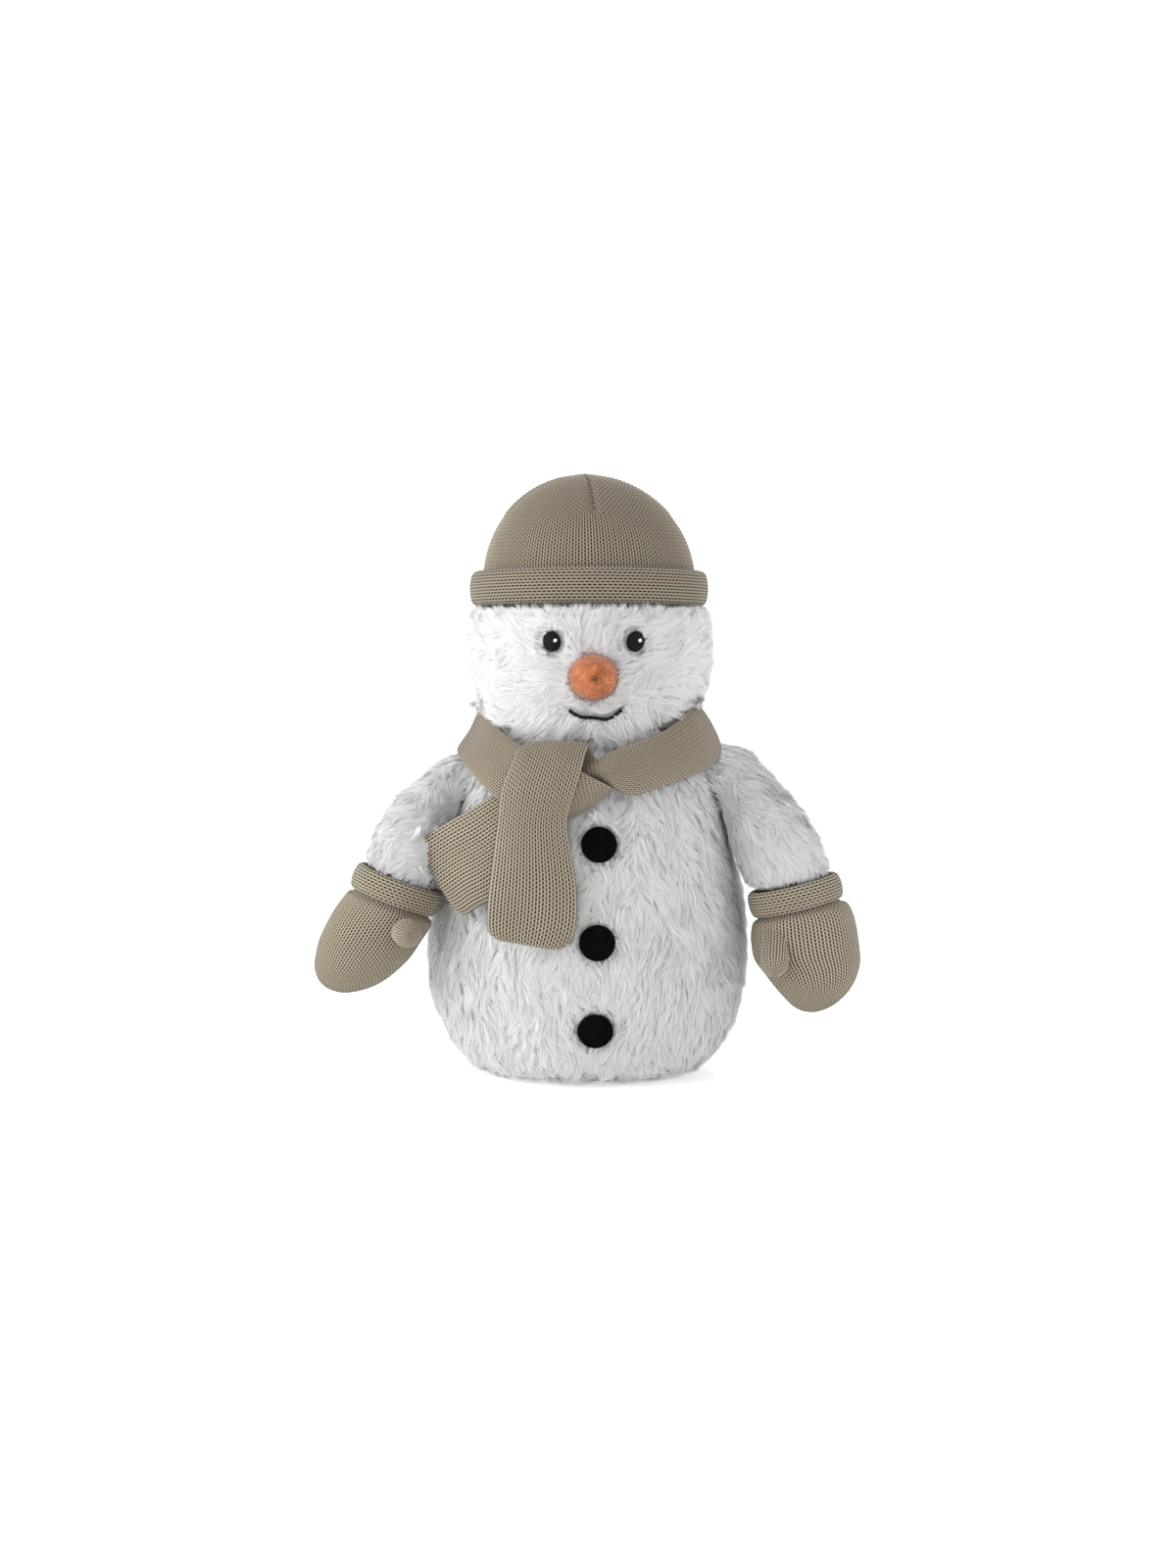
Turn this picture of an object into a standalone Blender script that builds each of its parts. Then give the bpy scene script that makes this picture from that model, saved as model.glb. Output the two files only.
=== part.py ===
"""A plush snowman toy with a knitted hat, scarf and mittens.

Metres, +Z up. The origin is on the floor under the middle of the body, and the face looks along -Y.
Left is -X and right is +X, as the toy is seen from the front.
"""

from math import cos, pi, radians, sin, sqrt

import bmesh
import bpy
from mathutils import Matrix, Vector, noise

MM = 0.001

# Driving dimensions, in metres
HEIGHT = 300 * MM  # from the floor to the top of the hat
BODY_DEPTH_RATIO = 0.93  # depth of the body over its width
HEAD_DEPTH_RATIO = 0.88  # depth of the head and of the hat over their width
HEAD_CENTRE_X = 0.5 * MM
FACE_CENTRE_X = 2.8 * MM  # the face looks a little to the right
GAP = 0.35 * MM  # clearance between pieces that touch
CAVITY_GAP = 0.5 * MM  # clearance round pieces pressed into the fur

CROWN_RADIUS = 53.0 * MM
CROWN_WALL = 3.2 * MM
CROWN_LEAN = 2.0 * MM  # how far the top of the dome leans to the left
BRIM_RADIUS = 59.3 * MM
BRIM_THICKNESS = 5.4 * MM
BRIM_BOTTOM = 235.2 * MM
BRIM_HEIGHT = 17.6 * MM

SCARF_THICKNESS = 3.6 * MM  # two layers of knitting
RING_POINTS = 16  # points round an arm or a hand
THUMB_POINTS = 10
ARM_STEP = 9  # spacing of the rings along an arm, in millimetres
SCARF_STEP = 7.5 * MM  # spacing of the strip's cross-sections

CUFF_HEIGHT = 12.6 * MM
CUFF_THICKNESS = 3.0 * MM
MITTEN_DEPTH_RATIO = 0.74  # depth of a mitten over its width
WRIST_DEPTH_RATIO = 0.90

NOSE_RADIUS = 11.6 * MM
NOSE_LENGTH = 21.0 * MM  # how far it stands out of the head
NOSE_SINK = 5.0 * MM
NOSE_AT = 199 * MM  # height of its middle
NOSE_WAY = Vector((0.03, -1, -0.04))
NOSE_HEIGHT_RATIO = 0.93  # height of its section over its width
NOSE_FOOT = ((0.87, 0.623), (1, 0.381), (0.98, 0.19), (0.9, 0))  # parts of the radius and the length
NOSE_TIP_RADIUS = 7.4 * MM
EYE_HALF_WIDTH = 4.4 * MM
EYE_HALF_HEIGHT = 5.0 * MM
EYE_THICKNESS = 2.6 * MM
EYE_PLACES = {"left": (-18.0, 217), "right": (23.8, 217)}  # x and z, millimetres
EYE_SINK = 3.4 * MM  # how deep an eye's back lies in the pile
GLINT_RADIUS = 0.9 * MM
GLINT_THICKNESS = 0.6 * MM
MOUTH_RADIUS = 0.9 * MM
MOUTH_POINTS = (  # x and z, millimetres
    (-9.9, 184), (-6.4, 181.7), (-1.9, 180.3), (2.8, 180.4),
    (5.7, 179.2), (9.6, 179.7), (13.8, 181.6), (17, 184),
)
BUTTON_RADIUS = 8.5 * MM
BUTTON_THICKNESS = 3.0 * MM
BUTTON_SINK = 2.4 * MM
BUTTON_PLACES = {"top": (5.4, 120.3), "middle": (4.6, 73.6), "bottom": (3.7, 30.0)}  # x and z, millimetres

FUR_LUMP = 1.5 * MM  # how far the soft clumps of pile stand out or sink in
FUR_CLUMP_WIDTH = 13.0 * MM
FUR_CLUMP_LENGTH = 30.0 * MM

WHITE_PLUSH = ("white plush", (0.86, 0.86, 0.85), 0.9)
TAUPE_KNIT = ("taupe knitting", (0.42, 0.36, 0.26), 0.9)
ORANGE_VELOUR = ("orange velour", (0.75, 0.22, 0.07), 0.8)
BLACK_THREAD = ("black thread", (0.01, 0.01, 0.012), 0.6)
WHITE_THREAD = ("white thread", (0.9, 0.9, 0.9), 0.6)
BLACK_FELT = ("black felt", (0.012, 0.012, 0.014), 0.95)

# Half width and height of the body's outline, from the neck down to the floor
BODY_PROFILE = (
    (0, 178.5), (26, 175.8), (43, 169), (55, 160.5), (62, 151), (68.5, 134.5), (73.5, 117),
    (78.2, 95), (81, 75), (81.7, 60), (80.5, 46), (77.6, 34), (73.9, 24), (69.2, 15.5),
    (63.2, 8.2), (57.8, 3.6), (53.6, 1.2), (50, 0), (0, 0),
)
# The same for the head, from the top under the hat down to the neck
HEAD_PROFILE = (
    (0, 295.2), (18, 291.4), (34, 281), (44.5, 265.5), (48.8, 247), (48.8, 236.5), (49.6, 234.8),
    (57, 234.4), (60.4, 233), (62.3, 228), (62.9, 218), (62.5, 206), (60.5, 196), (57.4, 188),
    (55.4, 181), (53.6, 174.5), (49.5, 168.5), (40, 164.4), (0, 162),
)

# The scarf as one strip: its two edges and how far it swells outwards between them, in millimetres.
# It starts at the foot of the hanging tail, goes up and over, behind the other half, through the
# fold, round the neck from the left, and ends at the tip of the slanting tail.
SCARF_STATIONS = (
    ((-9.3, -80, 70.1), (-47.9, -79, 76.1), 1),
    ((-5.6, -80, 84.6), (-47.9, -80, 89.2), 1),
    ((-5.6, -79.5, 100.8), (-46.4, -80, 103.2), 2),
    ((-7.9, -79, 116.1), (-44.6, -80, 117.2), 3),
    ((-9.8, -78, 131.9), (-42.7, -79.5, 132.0), 4),
    ((-6.5, -76.5, 145.7), (-40.9, -78.5, 145.9), 4),
    ((-2.8, -73, 156.3), (-37.7, -75.5, 156.5), 3),
    ((-0.9, -67, 164.0), (-34.1, -69.5, 164.2), 1.5),
    ((0.6, -59, 167.0), (-30.1, -60, 167.0), 0.5),
    ((2.4, -53.5, 163.0), (-27.4, -53.5, 163.0), 0),
    ((5.6, -53.5, 156.5), (-23.6, -54, 153.5), 0),
    ((9.6, -56.5, 150.6), (-16.0, -57, 142.0), 0),
    ((11.9, -63.5, 147.6), (-8.7, -64.5, 133.4), 0),
    ((8.0, -70.5, 149.7), (-12.6, -71.5, 135.2), 0),
    ((0.0, -72, 153.5), (-21.5, -73.0, 132.8), 1),
    ((-10.3, -70, 159.0), (-32.7, -71.5, 134.8), 1),
    ((-22.1, -64, 163.4), (-43.1, -66.5, 141.9), 1.5),
    ((-34.0, -53, 168.0), (-51.6, -56, 148.6), 1.5),
    ((-44.4, -36, 175.2), (-60.4, -38, 157.8), 0),
    ((-53.0, 0, 185.0), (-64.6, 0, 162.4), -1.5),
    ((-40.0, 33, 188.0), (-49.0, 43, 160.0), 1.5),
    ((0, 46, 189.0), (0, 61, 157.0), 3),
    ((37.0, 33, 190.0), (48.6, 43, 159.0), 3),
    ((51.2, 0, 188.0), (65.6, 0, 160.5), 2),
    ((48.0, -27, 181.5), (59.6, -30, 155.4), 3),
    ((37.1, -44, 173.6), (46.0, -47, 150.6), 3),
    ((24.1, -54, 168.6), (29.6, -60, 145.4), 3),
    ((14.1, -60, 165.4), (19.4, -66, 144.2), 3),
    ((7.5, -63.5, 162.4), (12.2, -67, 147.6), 3.5),
    ((0.6, -63.5, 158.8), (1.9, -65, 150.8), 2.5),
    ((-7.5, -63, 156.2), (-6.4, -63.5, 144.5), 1),
    ((-18.8, -63, 153.6), (-13.4, -64.5, 134.0), 1),
    ((-32.4, -63.5, 150.2), (-21.2, -68.5, 118.1), 1),
    ((-44.7, -61.5, 144.0), (-31.9, -70.5, 104.6), 1),
    ((-57.8, -55.5, 135.5), (-43.7, -67.5, 95.3), 1),
    ((-71.5, -47.5, 127.4), (-52.9, -62.5, 89.7), 1),
    ((-85.0, -40, 118.1), (-61.8, -56, 83.6), 0),
)

# Each arm's spine from inside the shoulder to the wrist: x, y, z and half width in millimetres
ARM_SPINES = {
    "left": ((-54, 0, 148.5, 18.5), (-66.5, -4, 140.5, 19.2), (-79, -14, 128, 20), (-86.5, -27, 115, 21.3)),
    "right": ((54, 0, 153, 19.5), (70.5, -2, 145.5, 20.2), (80.8, -10, 133.6, 20), (91.5, -23, 118, 21.4)),
}
WRISTS = {"left": (-91.6, -37, 101.6), "right": (100.6, -32, 98.6)}
HAND_LEAN = {"left": radians(201.0), "right": radians(172.0)}  # the hand's axis, turned about +Y from up
CUFF_LEAN = {"left": radians(201.0), "right": radians(166.0)}
SLEEVE = 12.7  # how far each hand reaches up inside its cuff, in millimetres
HAND_LENGTH = 64.0  # from the wrist to the finger tips, in millimetres
FINGERS_FORWARD = 5.0 * MM  # how far the finger tips come forward of the wrist
# Rings along each hand: distance from the wrist, shift towards the body, half width
HAND_RINGS = {
    "left": (
        (2.9, 0, 18.2), (12.7, 0, 18.4), (15.2, 0, 21.6), (19, -0.6, 22.4),
        (26, -2.3, 22.6), (35, -4, 22.2), (43, -6, 20.6), (50, -7.6, 18),
        (55.5, -9.4, 14.8), (60, -10.8, 10.2), (62.6, -11.6, 5.6), (63.7, -11.8, 1.2),
    ),
    "right": (
        (2.9, 0, 18.8), (12.7, 0, 19.2), (15.2, -0.4, 23.4), (19, -0.8, 25.2),
        (26, -0.8, 26.2), (35, -1, 26), (43, -2.8, 23.6), (50, -3.4, 20.2),
        (56, -3.2, 16), (60.6, -2.2, 11.2), (63.4, -1.4, 6), (64.6, -1.2, 1.2),
    ),
}
# Each thumb as a capsule: root, tip centre and radius
THUMBS = {
    "left": ((-91, -44, 77), (-87.0, -61, 76.5), 6.6),
    "right": ((92.5, -39, 78), (90.4, -54, 61.5), 6.8),
}


# --- scene, materials and small helpers -------------------------------------------------------


def clear_scene():
    for obj in list(bpy.data.objects):
        bpy.data.objects.remove(obj, do_unlink=True)


def make_collection(name, rendered=True):
    collection = bpy.data.collections.new(name)
    bpy.context.scene.collection.children.link(collection)
    collection.hide_render = not rendered
    return collection


def material_of(finish):
    name, colour, roughness = finish
    material = bpy.data.materials.get(name) or bpy.data.materials.new(name)
    material.use_nodes = True
    shader = material.node_tree.nodes["Principled BSDF"]
    shader.inputs["Base Color"].default_value = (*colour, 1)
    shader.inputs["Roughness"].default_value = roughness
    shader.inputs["Metallic"].default_value = 0
    return material


def add_object(name, mesh, finish=None):
    """Links a new object to the toy's collection, or to the cutters' if it has no finish."""
    obj = bpy.data.objects.new(name, mesh)
    if finish:
        TOY.objects.link(obj)
        mesh.materials.append(material_of(finish))
        mesh.shade_smooth()
    else:
        CUTTERS.objects.link(obj)
        obj.hide_render = True
        obj.display_type = "WIRE"
    return obj


def evaluated_mesh(obj):
    graph = bpy.context.evaluated_depsgraph_get()
    mesh = bpy.data.meshes.new_from_object(obj.evaluated_get(graph))
    mesh.transform(obj.matrix_world)
    return mesh


def bake_modifiers(obj):
    """Gives the object the mesh that its modifiers and placing make."""
    bpy.context.view_layer.update()
    baked = evaluated_mesh(obj)
    obj.modifiers.clear()
    obj.matrix_world = Matrix.Identity(4)
    obj.data = baked
    return obj


def smooth_through(points, step):
    """Points about a step apart on a Catmull-Rom curve through tuples of any length."""
    points = [Vector(p) for p in points]
    ends = [2 * points[0] - points[1]] + points + [2 * points[-1] - points[-2]]
    found = []
    for a, b, c, d in zip(ends, ends[1:], ends[2:], ends[3:]):
        count = max(1, round((c - b).length / step))
        for i in range(count):
            t = i / count
            bend = (2 * a - 5 * b + 4 * c - d) * t**2 + (3 * b - a - 3 * c + d) * t**3
            found.append(0.5 * (2 * b + (c - a) * t + bend))
    return found + [points[-1]]


# --- the ways of making a shape ---------------------------------------------------------------


def turned(name, profile, steps, finish=None, depth_ratio=1.0, centre=(0, 0, 0), closed=False):
    """A profile of (radius, height) pairs in metres, turned about the vertical axis."""
    mesh = bpy.data.meshes.new(name)
    edges = [(i, i + 1) for i in range(len(profile) - 1)]
    if closed:
        edges.append((len(profile) - 1, 0))
    mesh.from_pydata([(r, 0, z) for r, z in profile], edges, [])
    obj = add_object(name, mesh, finish)
    obj.location = centre
    obj.scale = (1, depth_ratio, 1)
    screw = obj.modifiers.new("Turn", "SCREW")
    screw.steps = screw.render_steps = steps
    screw.use_merge_vertices = not closed
    screw.merge_threshold = 0.00001
    screw.use_smooth_shade = True
    if closed:
        weld = obj.modifiers.new("Seam", "WELD")
        weld.merge_threshold = 0.00001
    return bake_modifiers(obj)


def lofted(name, rings, finish=None):
    """A closed skin over rings that all have the same number of points."""
    mesh = bpy.data.meshes.new(name)
    bm = bmesh.new()
    rows = [[bm.verts.new(point) for point in ring] for ring in rings]
    count = len(rows[0])
    for low, high in zip(rows, rows[1:]):
        for i in range(count):
            j = (i + 1) % count
            bm.faces.new((low[i], low[j], high[j], high[i]))
    bm.faces.new(rows[0][::-1])
    bm.faces.new(rows[-1])
    bmesh.ops.triangulate(bm, faces=[f for f in bm.faces if len(f.verts) > 4])
    bmesh.ops.recalc_face_normals(bm, faces=bm.faces)
    bm.to_mesh(mesh)
    bm.free()
    return add_object(name, mesh, finish)


def oval_ring(centre, across, deep, count):
    """A ring of points round a centre, with its half axes given as vectors."""
    return [centre + across * cos(a) + deep * sin(a) for a in (2 * pi * i / count for i in range(count))]


def swollen_copy(obj, by):
    """A cutter a little larger all round than the object."""
    cutter = add_object(obj.name + " room", obj.data.copy())
    cutter.matrix_world = obj.matrix_world
    grow = cutter.modifiers.new("Grow", "DISPLACE")
    grow.mid_level = 0
    grow.strength = by
    return bake_modifiers(cutter)


def cut(obj, cutters):
    """Takes the cutters out of the object, one after the other."""
    for cutter in cutters:
        boolean = obj.modifiers.new("Cut " + cutter.name, "BOOLEAN")
        boolean.operation = "DIFFERENCE"
        boolean.solver = "EXACT"
        boolean.object = cutter
    return bake_modifiers(obj)


def keep_largest(obj):
    """Drops the crumbs that a cut leaves loose beside the main body of a piece."""
    bm = bmesh.new()
    bm.from_mesh(obj.data)
    unseen, islands = set(bm.verts), []
    while unseen:
        island, todo = set(), [unseen.pop()]
        while todo:
            vert = todo.pop()
            island.add(vert)
            for edge in vert.link_edges:
                other = edge.other_vert(vert)
                if other in unseen:
                    unseen.discard(other)
                    todo.append(other)
        islands.append(island)
    islands.sort(key=len)
    for island in islands[:-1]:
        bmesh.ops.delete(bm, geom=list(island), context="VERTS")
    bm.to_mesh(obj.data)
    bm.free()
    return obj


def ruffle(obj, is_plain):
    """Raises soft clumps of pile that run down the piece, except where is_plain says so."""
    mesh = obj.data
    bm = bmesh.new()
    bm.from_mesh(mesh)
    bmesh.ops.triangulate(bm, faces=bm.faces)
    bm.to_mesh(mesh)
    bm.free()
    for vertex, normal in zip(mesh.vertices, [n.vector.copy() for n in mesh.vertex_normals]):
        place = vertex.co
        if is_plain(place):
            continue
        at = Vector((place.x / FUR_CLUMP_WIDTH, place.y / FUR_CLUMP_WIDTH, place.z / FUR_CLUMP_LENGTH))
        vertex.co = place + normal * FUR_LUMP * noise.noise(at)
    mesh.update()
    return obj


# --- the plush ----------------------------------------------------------------------------------


def metres(profile):
    return [(r * MM, z * MM) for r, z in profile]


def make_body():
    body = turned("body", metres(BODY_PROFILE), 30, WHITE_PLUSH, BODY_DEPTH_RATIO)
    return ruffle(body, lambda place: place.z < 1.0 * MM)


def make_head():
    head = turned("head", metres(HEAD_PROFILE), 26, WHITE_PLUSH, HEAD_DEPTH_RATIO, (HEAD_CENTRE_X, 0, 0))
    return ruffle(head, lambda place: place.z > BRIM_BOTTOM - 3 * MM)


def lean_frame(angle):
    """Axis down the limb and the direction across it, for a lean about the depth axis."""
    axis = Vector((sin(angle), 0, cos(angle)))
    return axis, Vector((-axis.z, 0, axis.x))


def make_arm(side):
    """A tapering arm that ends in a flat face inside the mitten's cuff."""
    axis, across = lean_frame(CUFF_LEAN[side])
    wrist = Vector(WRISTS[side]) * MM
    rings = []
    spine = smooth_through(ARM_SPINES[side] + ((*WRISTS[side], 21.2),), ARM_STEP)
    points = [Vector(p[:3]) * MM for p in spine]
    for i, (place, station) in enumerate(zip(points, spine)):
        before, after = points[max(i - 1, 0)], points[min(i + 1, len(points) - 1)]
        run = (after - before).normalized() if i < len(points) - 1 else axis
        deep = Vector((0, 1, 0)) - run * run.y
        deep.normalize()
        side_way = run.cross(deep)
        width = station[3] * MM
        if i >= len(points) - 1:
            continue
        rings.append(oval_ring(place, side_way * width, deep * width * 0.97, RING_POINTS))
    for along, width in ((-0.6, 20.6), (-0.2, 18.6), (2.4, 18.2)):
        place = wrist + axis * along * MM
        deep = Vector((0, width * WRIST_DEPTH_RATIO * MM, 0))
        rings.append(oval_ring(place, across * width * MM, deep, RING_POINTS))
    start = rings[0]
    middle = sum(start, Vector()) / len(start)
    inner = [middle + (p - middle) * 0.55 - (points[1] - points[0]).normalized() * 6 * MM for p in start]
    arm = lofted("arm_" + side, [inner] + rings, WHITE_PLUSH)
    return ruffle(arm, lambda place: (place - wrist).dot(axis) > -3 * MM)


# --- the knitted pieces -------------------------------------------------------------------------


def make_mitten(side):
    """A stuffed hand with its thumb joined on, its open end flat against the arm's."""
    axis, cuff_axis = lean_frame(HAND_LEAN[side])[0], lean_frame(CUFF_LEAN[side])[0]
    inwards = 1 if side == "left" else -1
    wrist = Vector(WRISTS[side]) * MM
    rings = []
    for along, shift, width in HAND_RINGS[side]:
        blend = min(1.0, max(0.0, (along - SLEEVE) / 12))  # the hand turns from the cuff's lean to its own
        run = cuff_axis.lerp(axis, blend).normalized()
        wide = Vector((-run.z, 0, run.x))
        if wide.x * inwards < 0:
            wide = -wide
        beyond = max(along - SLEEVE, 0)
        place = wrist + (cuff_axis * min(along, SLEEVE) + axis * beyond + wide * shift) * MM
        place.y -= FINGERS_FORWARD * beyond / HAND_LENGTH
        ratio = WRIST_DEPTH_RATIO + (MITTEN_DEPTH_RATIO - WRIST_DEPTH_RATIO) * blend
        rings.append(oval_ring(place, wide * width * MM, Vector((0, width * ratio * MM, 0)), RING_POINTS))
    mitten = lofted("mitten_" + side, rings, TAUPE_KNIT)
    union = mitten.modifiers.new("Thumb", "BOOLEAN")
    union.operation = "UNION"
    union.solver = "EXACT"
    union.object = make_thumb(side)
    return bake_modifiers(mitten)


def make_thumb(side):
    root, tip, radius = THUMBS[side]
    root, tip, radius = Vector(root) * MM, Vector(tip) * MM, radius * MM
    run = (tip - root).normalized()
    wide = run.orthogonal().normalized()
    deep = run.cross(wide)
    rings = [oval_ring(root - run * 2 * MM, wide * radius * 0.8, deep * radius * 0.8, THUMB_POINTS)]
    rings.append(oval_ring(root, wide * radius, deep * radius, THUMB_POINTS))
    for turn in (0, 25, 48, 66, 82):
        grown, beyond = radius * cos(radians(turn)), radius * sin(radians(turn))
        rings.append(oval_ring(tip + run * beyond, wide * grown, deep * grown, THUMB_POINTS))
    return lofted("thumb " + side, rings)


def band_profile(inner, outer, bottom, top, rounding):
    """The outline of a soft rolled band, running down its outer side."""
    middle = (inner + outer) / 2
    return [
        (middle, top),
        (outer - 0.3 * rounding, top - 0.3 * rounding),
        (outer, top - rounding),
        (outer + 0.1 * rounding, (top + bottom) / 2),
        (outer, bottom + rounding),
        (outer - 0.3 * rounding, bottom + 0.3 * rounding),
        (middle, bottom),
        (inner, bottom + 0.5 * rounding),
        (inner, top - 0.5 * rounding),
    ]


def make_cuff(side):
    """The turned-up band round a wrist."""
    axis, across = lean_frame(CUFF_LEAN[side])
    inner = (19.8 if side == "right" else 19.0) * MM
    profile = band_profile(inner, inner + CUFF_THICKNESS, -CUFF_HEIGHT, 0, 1.6 * MM)
    cuff = turned("mitten_cuff_" + side, profile, 16, TAUPE_KNIT, WRIST_DEPTH_RATIO, closed=True)
    up = -axis
    place = Matrix((
        (across.x, 0, up.x, 0),
        (across.y, 1, up.y, 0),
        (across.z, 0, up.z, 0),
        (0, 0, 0, 1),
    ))
    if place.to_3x3().determinant() < 0:
        place = place @ Matrix.Scale(-1, 4, Vector((1, 0, 0)))
    cuff.data.transform(Matrix.Translation(Vector(WRISTS[side]) * MM) @ place)
    return cuff


def make_hat():
    """The dome and the rolled band round its edge."""
    centre = (HEAD_CENTRE_X, 0, 0)
    dome_centre = HEIGHT - CROWN_RADIUS
    inner = CROWN_RADIUS - CROWN_WALL
    foot = BRIM_BOTTOM + 1.2 * MM

    def arc(radius):
        turns = [radians(15 * i) for i in range(7)]
        return [(radius * sin(a), dome_centre + radius * cos(a)) for a in turns]

    profile = arc(CROWN_RADIUS) + [(CROWN_RADIUS, foot), (inner, foot)] + arc(inner)[::-1]
    crown = turned("hat_crown", profile, 26, TAUPE_KNIT, HEAD_DEPTH_RATIO, centre)
    lean_dome(crown, dome_centre)
    pinch_dart(crown)
    band = band_profile(
        BRIM_RADIUS - BRIM_THICKNESS, BRIM_RADIUS, BRIM_BOTTOM, BRIM_BOTTOM + BRIM_HEIGHT, 3.2 * MM
    )
    brim = turned("hat_brim", band, 26, TAUPE_KNIT, HEAD_DEPTH_RATIO, centre, closed=True)
    return crown, brim


def lean_dome(crown, dome_centre):
    """Leans the dome to the left, more towards its top."""
    for vertex in crown.data.vertices:
        rise = max(0.0, (vertex.co.z - dome_centre) / CROWN_RADIUS)
        vertex.co.x -= CROWN_LEAN * rise**2


def pinch_dart(crown):
    """Lifts the top of the dome into the small peak where its dart is sewn."""
    top = Vector((-0.5 * MM, -4 * MM, HEIGHT))
    reach = 11 * MM
    for vertex in crown.data.vertices:
        near = (vertex.co - top).length
        if near < reach:
            vertex.co.z += 0.8 * MM * (1 - near / reach)


def scarf_section(upper, lower, run, swell, grow):
    """One closed cross-section of the strip: its outer face, then its inner face."""
    middle, half = (upper + lower) / 2, (upper - lower) / 2
    out = half.cross(run).normalized()
    half = half * (1 + grow / half.length)
    thick = SCARF_THICKNESS / 2 + grow
    spots = (1, 0.5, -0.5, -1)
    face = []
    for spot in spots:
        place = middle + half * spot + out * swell * (1 - spot * spot)
        depth = thick * (0.45 if abs(spot) == 1 else 1)
        face.append((place, depth))
    outer = [place + out * depth for place, depth in face]
    inner = [place - out * depth for place, depth in face]
    return outer + inner[::-1]


def make_scarf(name="scarf", grow=0.0, finish=TAUPE_KNIT, stations=SCARF_STATIONS):
    """The strip, swept through its stations."""
    table = [(*upper, *lower, swell) for upper, lower, swell in stations]
    rows = smooth_through(table, SCARF_STEP / MM * sqrt(2))
    uppers = [Vector(row[0:3]) * MM for row in rows]
    lowers = [Vector(row[3:6]) * MM for row in rows]
    middles = [(a + b) / 2 for a, b in zip(uppers, lowers)]
    rings = []
    for i, row in enumerate(rows):
        run = middles[min(i + 1, len(rows) - 1)] - middles[max(i - 1, 0)]
        rings.append(scarf_section(uppers[i], lowers[i], run.normalized(), row[6] * MM, grow))
    if grow:
        for end, beyond in ((0, 1), (-1, -2)):
            push = (middles[end] - middles[beyond]).normalized() * grow
            rings[end] = [point + push for point in rings[end]]
    return lofted(name, rings, finish)


def make_scarf_rooms():
    """Cutters for the scarf, one for each stretch of it that doesn't pass over itself."""
    stretches = ((0, 14), (11, 25), (21, len(SCARF_STATIONS)))
    rooms = []
    for first, last in stretches:
        rooms.append(make_scarf(f"scarf room {first}", CAVITY_GAP, None, SCARF_STATIONS[first:last]))
    return rooms


# --- the face and the buttons -------------------------------------------------------------------


def profile_at(profile, z):
    """The radius of a profile at a height, in metres, and how fast it grows upwards there."""
    for (r0, z0), (r1, z1) in zip(profile, profile[1:]):
        if z1 * MM <= z <= z0 * MM and z0 != z1:
            slope = (r1 - r0) / (z1 - z0)
            return r0 * MM + slope * (z - z0 * MM), slope
    raise ValueError("the profile doesn't reach this height")


def front_of(profile, depth_ratio, side, z):
    """A place on the front of a turned piece, this far to the side of its middle, and the way out."""
    radius, slope = profile_at(profile, z)
    forward = sqrt(radius**2 - side**2)
    out = Vector((side, -forward / depth_ratio, -slope * radius)).normalized()
    return Vector((side, -depth_ratio * forward, z)), out


def head_front(x, z, sink=0.0):
    """A place on the front of the head at this x and z, or a little inside, and the way out of it."""
    place, out = front_of(HEAD_PROFILE, HEAD_DEPTH_RATIO, x - HEAD_CENTRE_X, z)
    return place + Vector((HEAD_CENTRE_X, 0, 0)) - out * sink, out


def body_front(x, z, sink=0.0):
    """The same on the front of the body."""
    place, out = front_of(BODY_PROFILE, BODY_DEPTH_RATIO, x, z)
    return place - out * sink, out


def facing(out, place):
    """A frame at a place whose +Z looks along a way out and whose +Y stays upright."""
    out = out.normalized()
    right = Vector((0, 0, 1)).cross(out).normalized()
    up = out.cross(right)
    return Matrix.Translation(place) @ Matrix((
        (right.x, up.x, out.x, 0), (right.y, up.y, out.y, 0), (right.z, up.z, out.z, 0), (0, 0, 0, 1),
    ))


def domed_disc(name, half_width, half_height, thickness, place, out, finish, steps=12):
    """A soft disc with a rounded rim and a slightly domed face."""
    rim = thickness * 0.35
    profile = [
        (0, thickness), (0.6 * half_width, thickness * 0.92), (half_width - rim * 0.6, thickness * 0.7),
        (half_width, thickness * 0.4), (half_width, 0), (0, 0),
    ]
    disc = turned(name, profile, steps, finish, half_height / half_width)
    disc.data.transform(facing(out, place))
    return disc


def dent(name, half_width, half_height, depth, place, out):
    """A cutter for the hollow that a stitched-on piece presses in the pile, wider at its mouth."""
    foot, mouth = half_width + 2 * CAVITY_GAP, half_width + depth
    profile = [(0, 3 * depth), (mouth + 2 * depth, 3 * depth), (mouth, depth)]
    profile += [(foot, -CAVITY_GAP), (0, -CAVITY_GAP)]
    cutter = turned(name, profile, 16, None, half_height / half_width)
    cutter.data.transform(facing(out, place))
    return cutter


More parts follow.
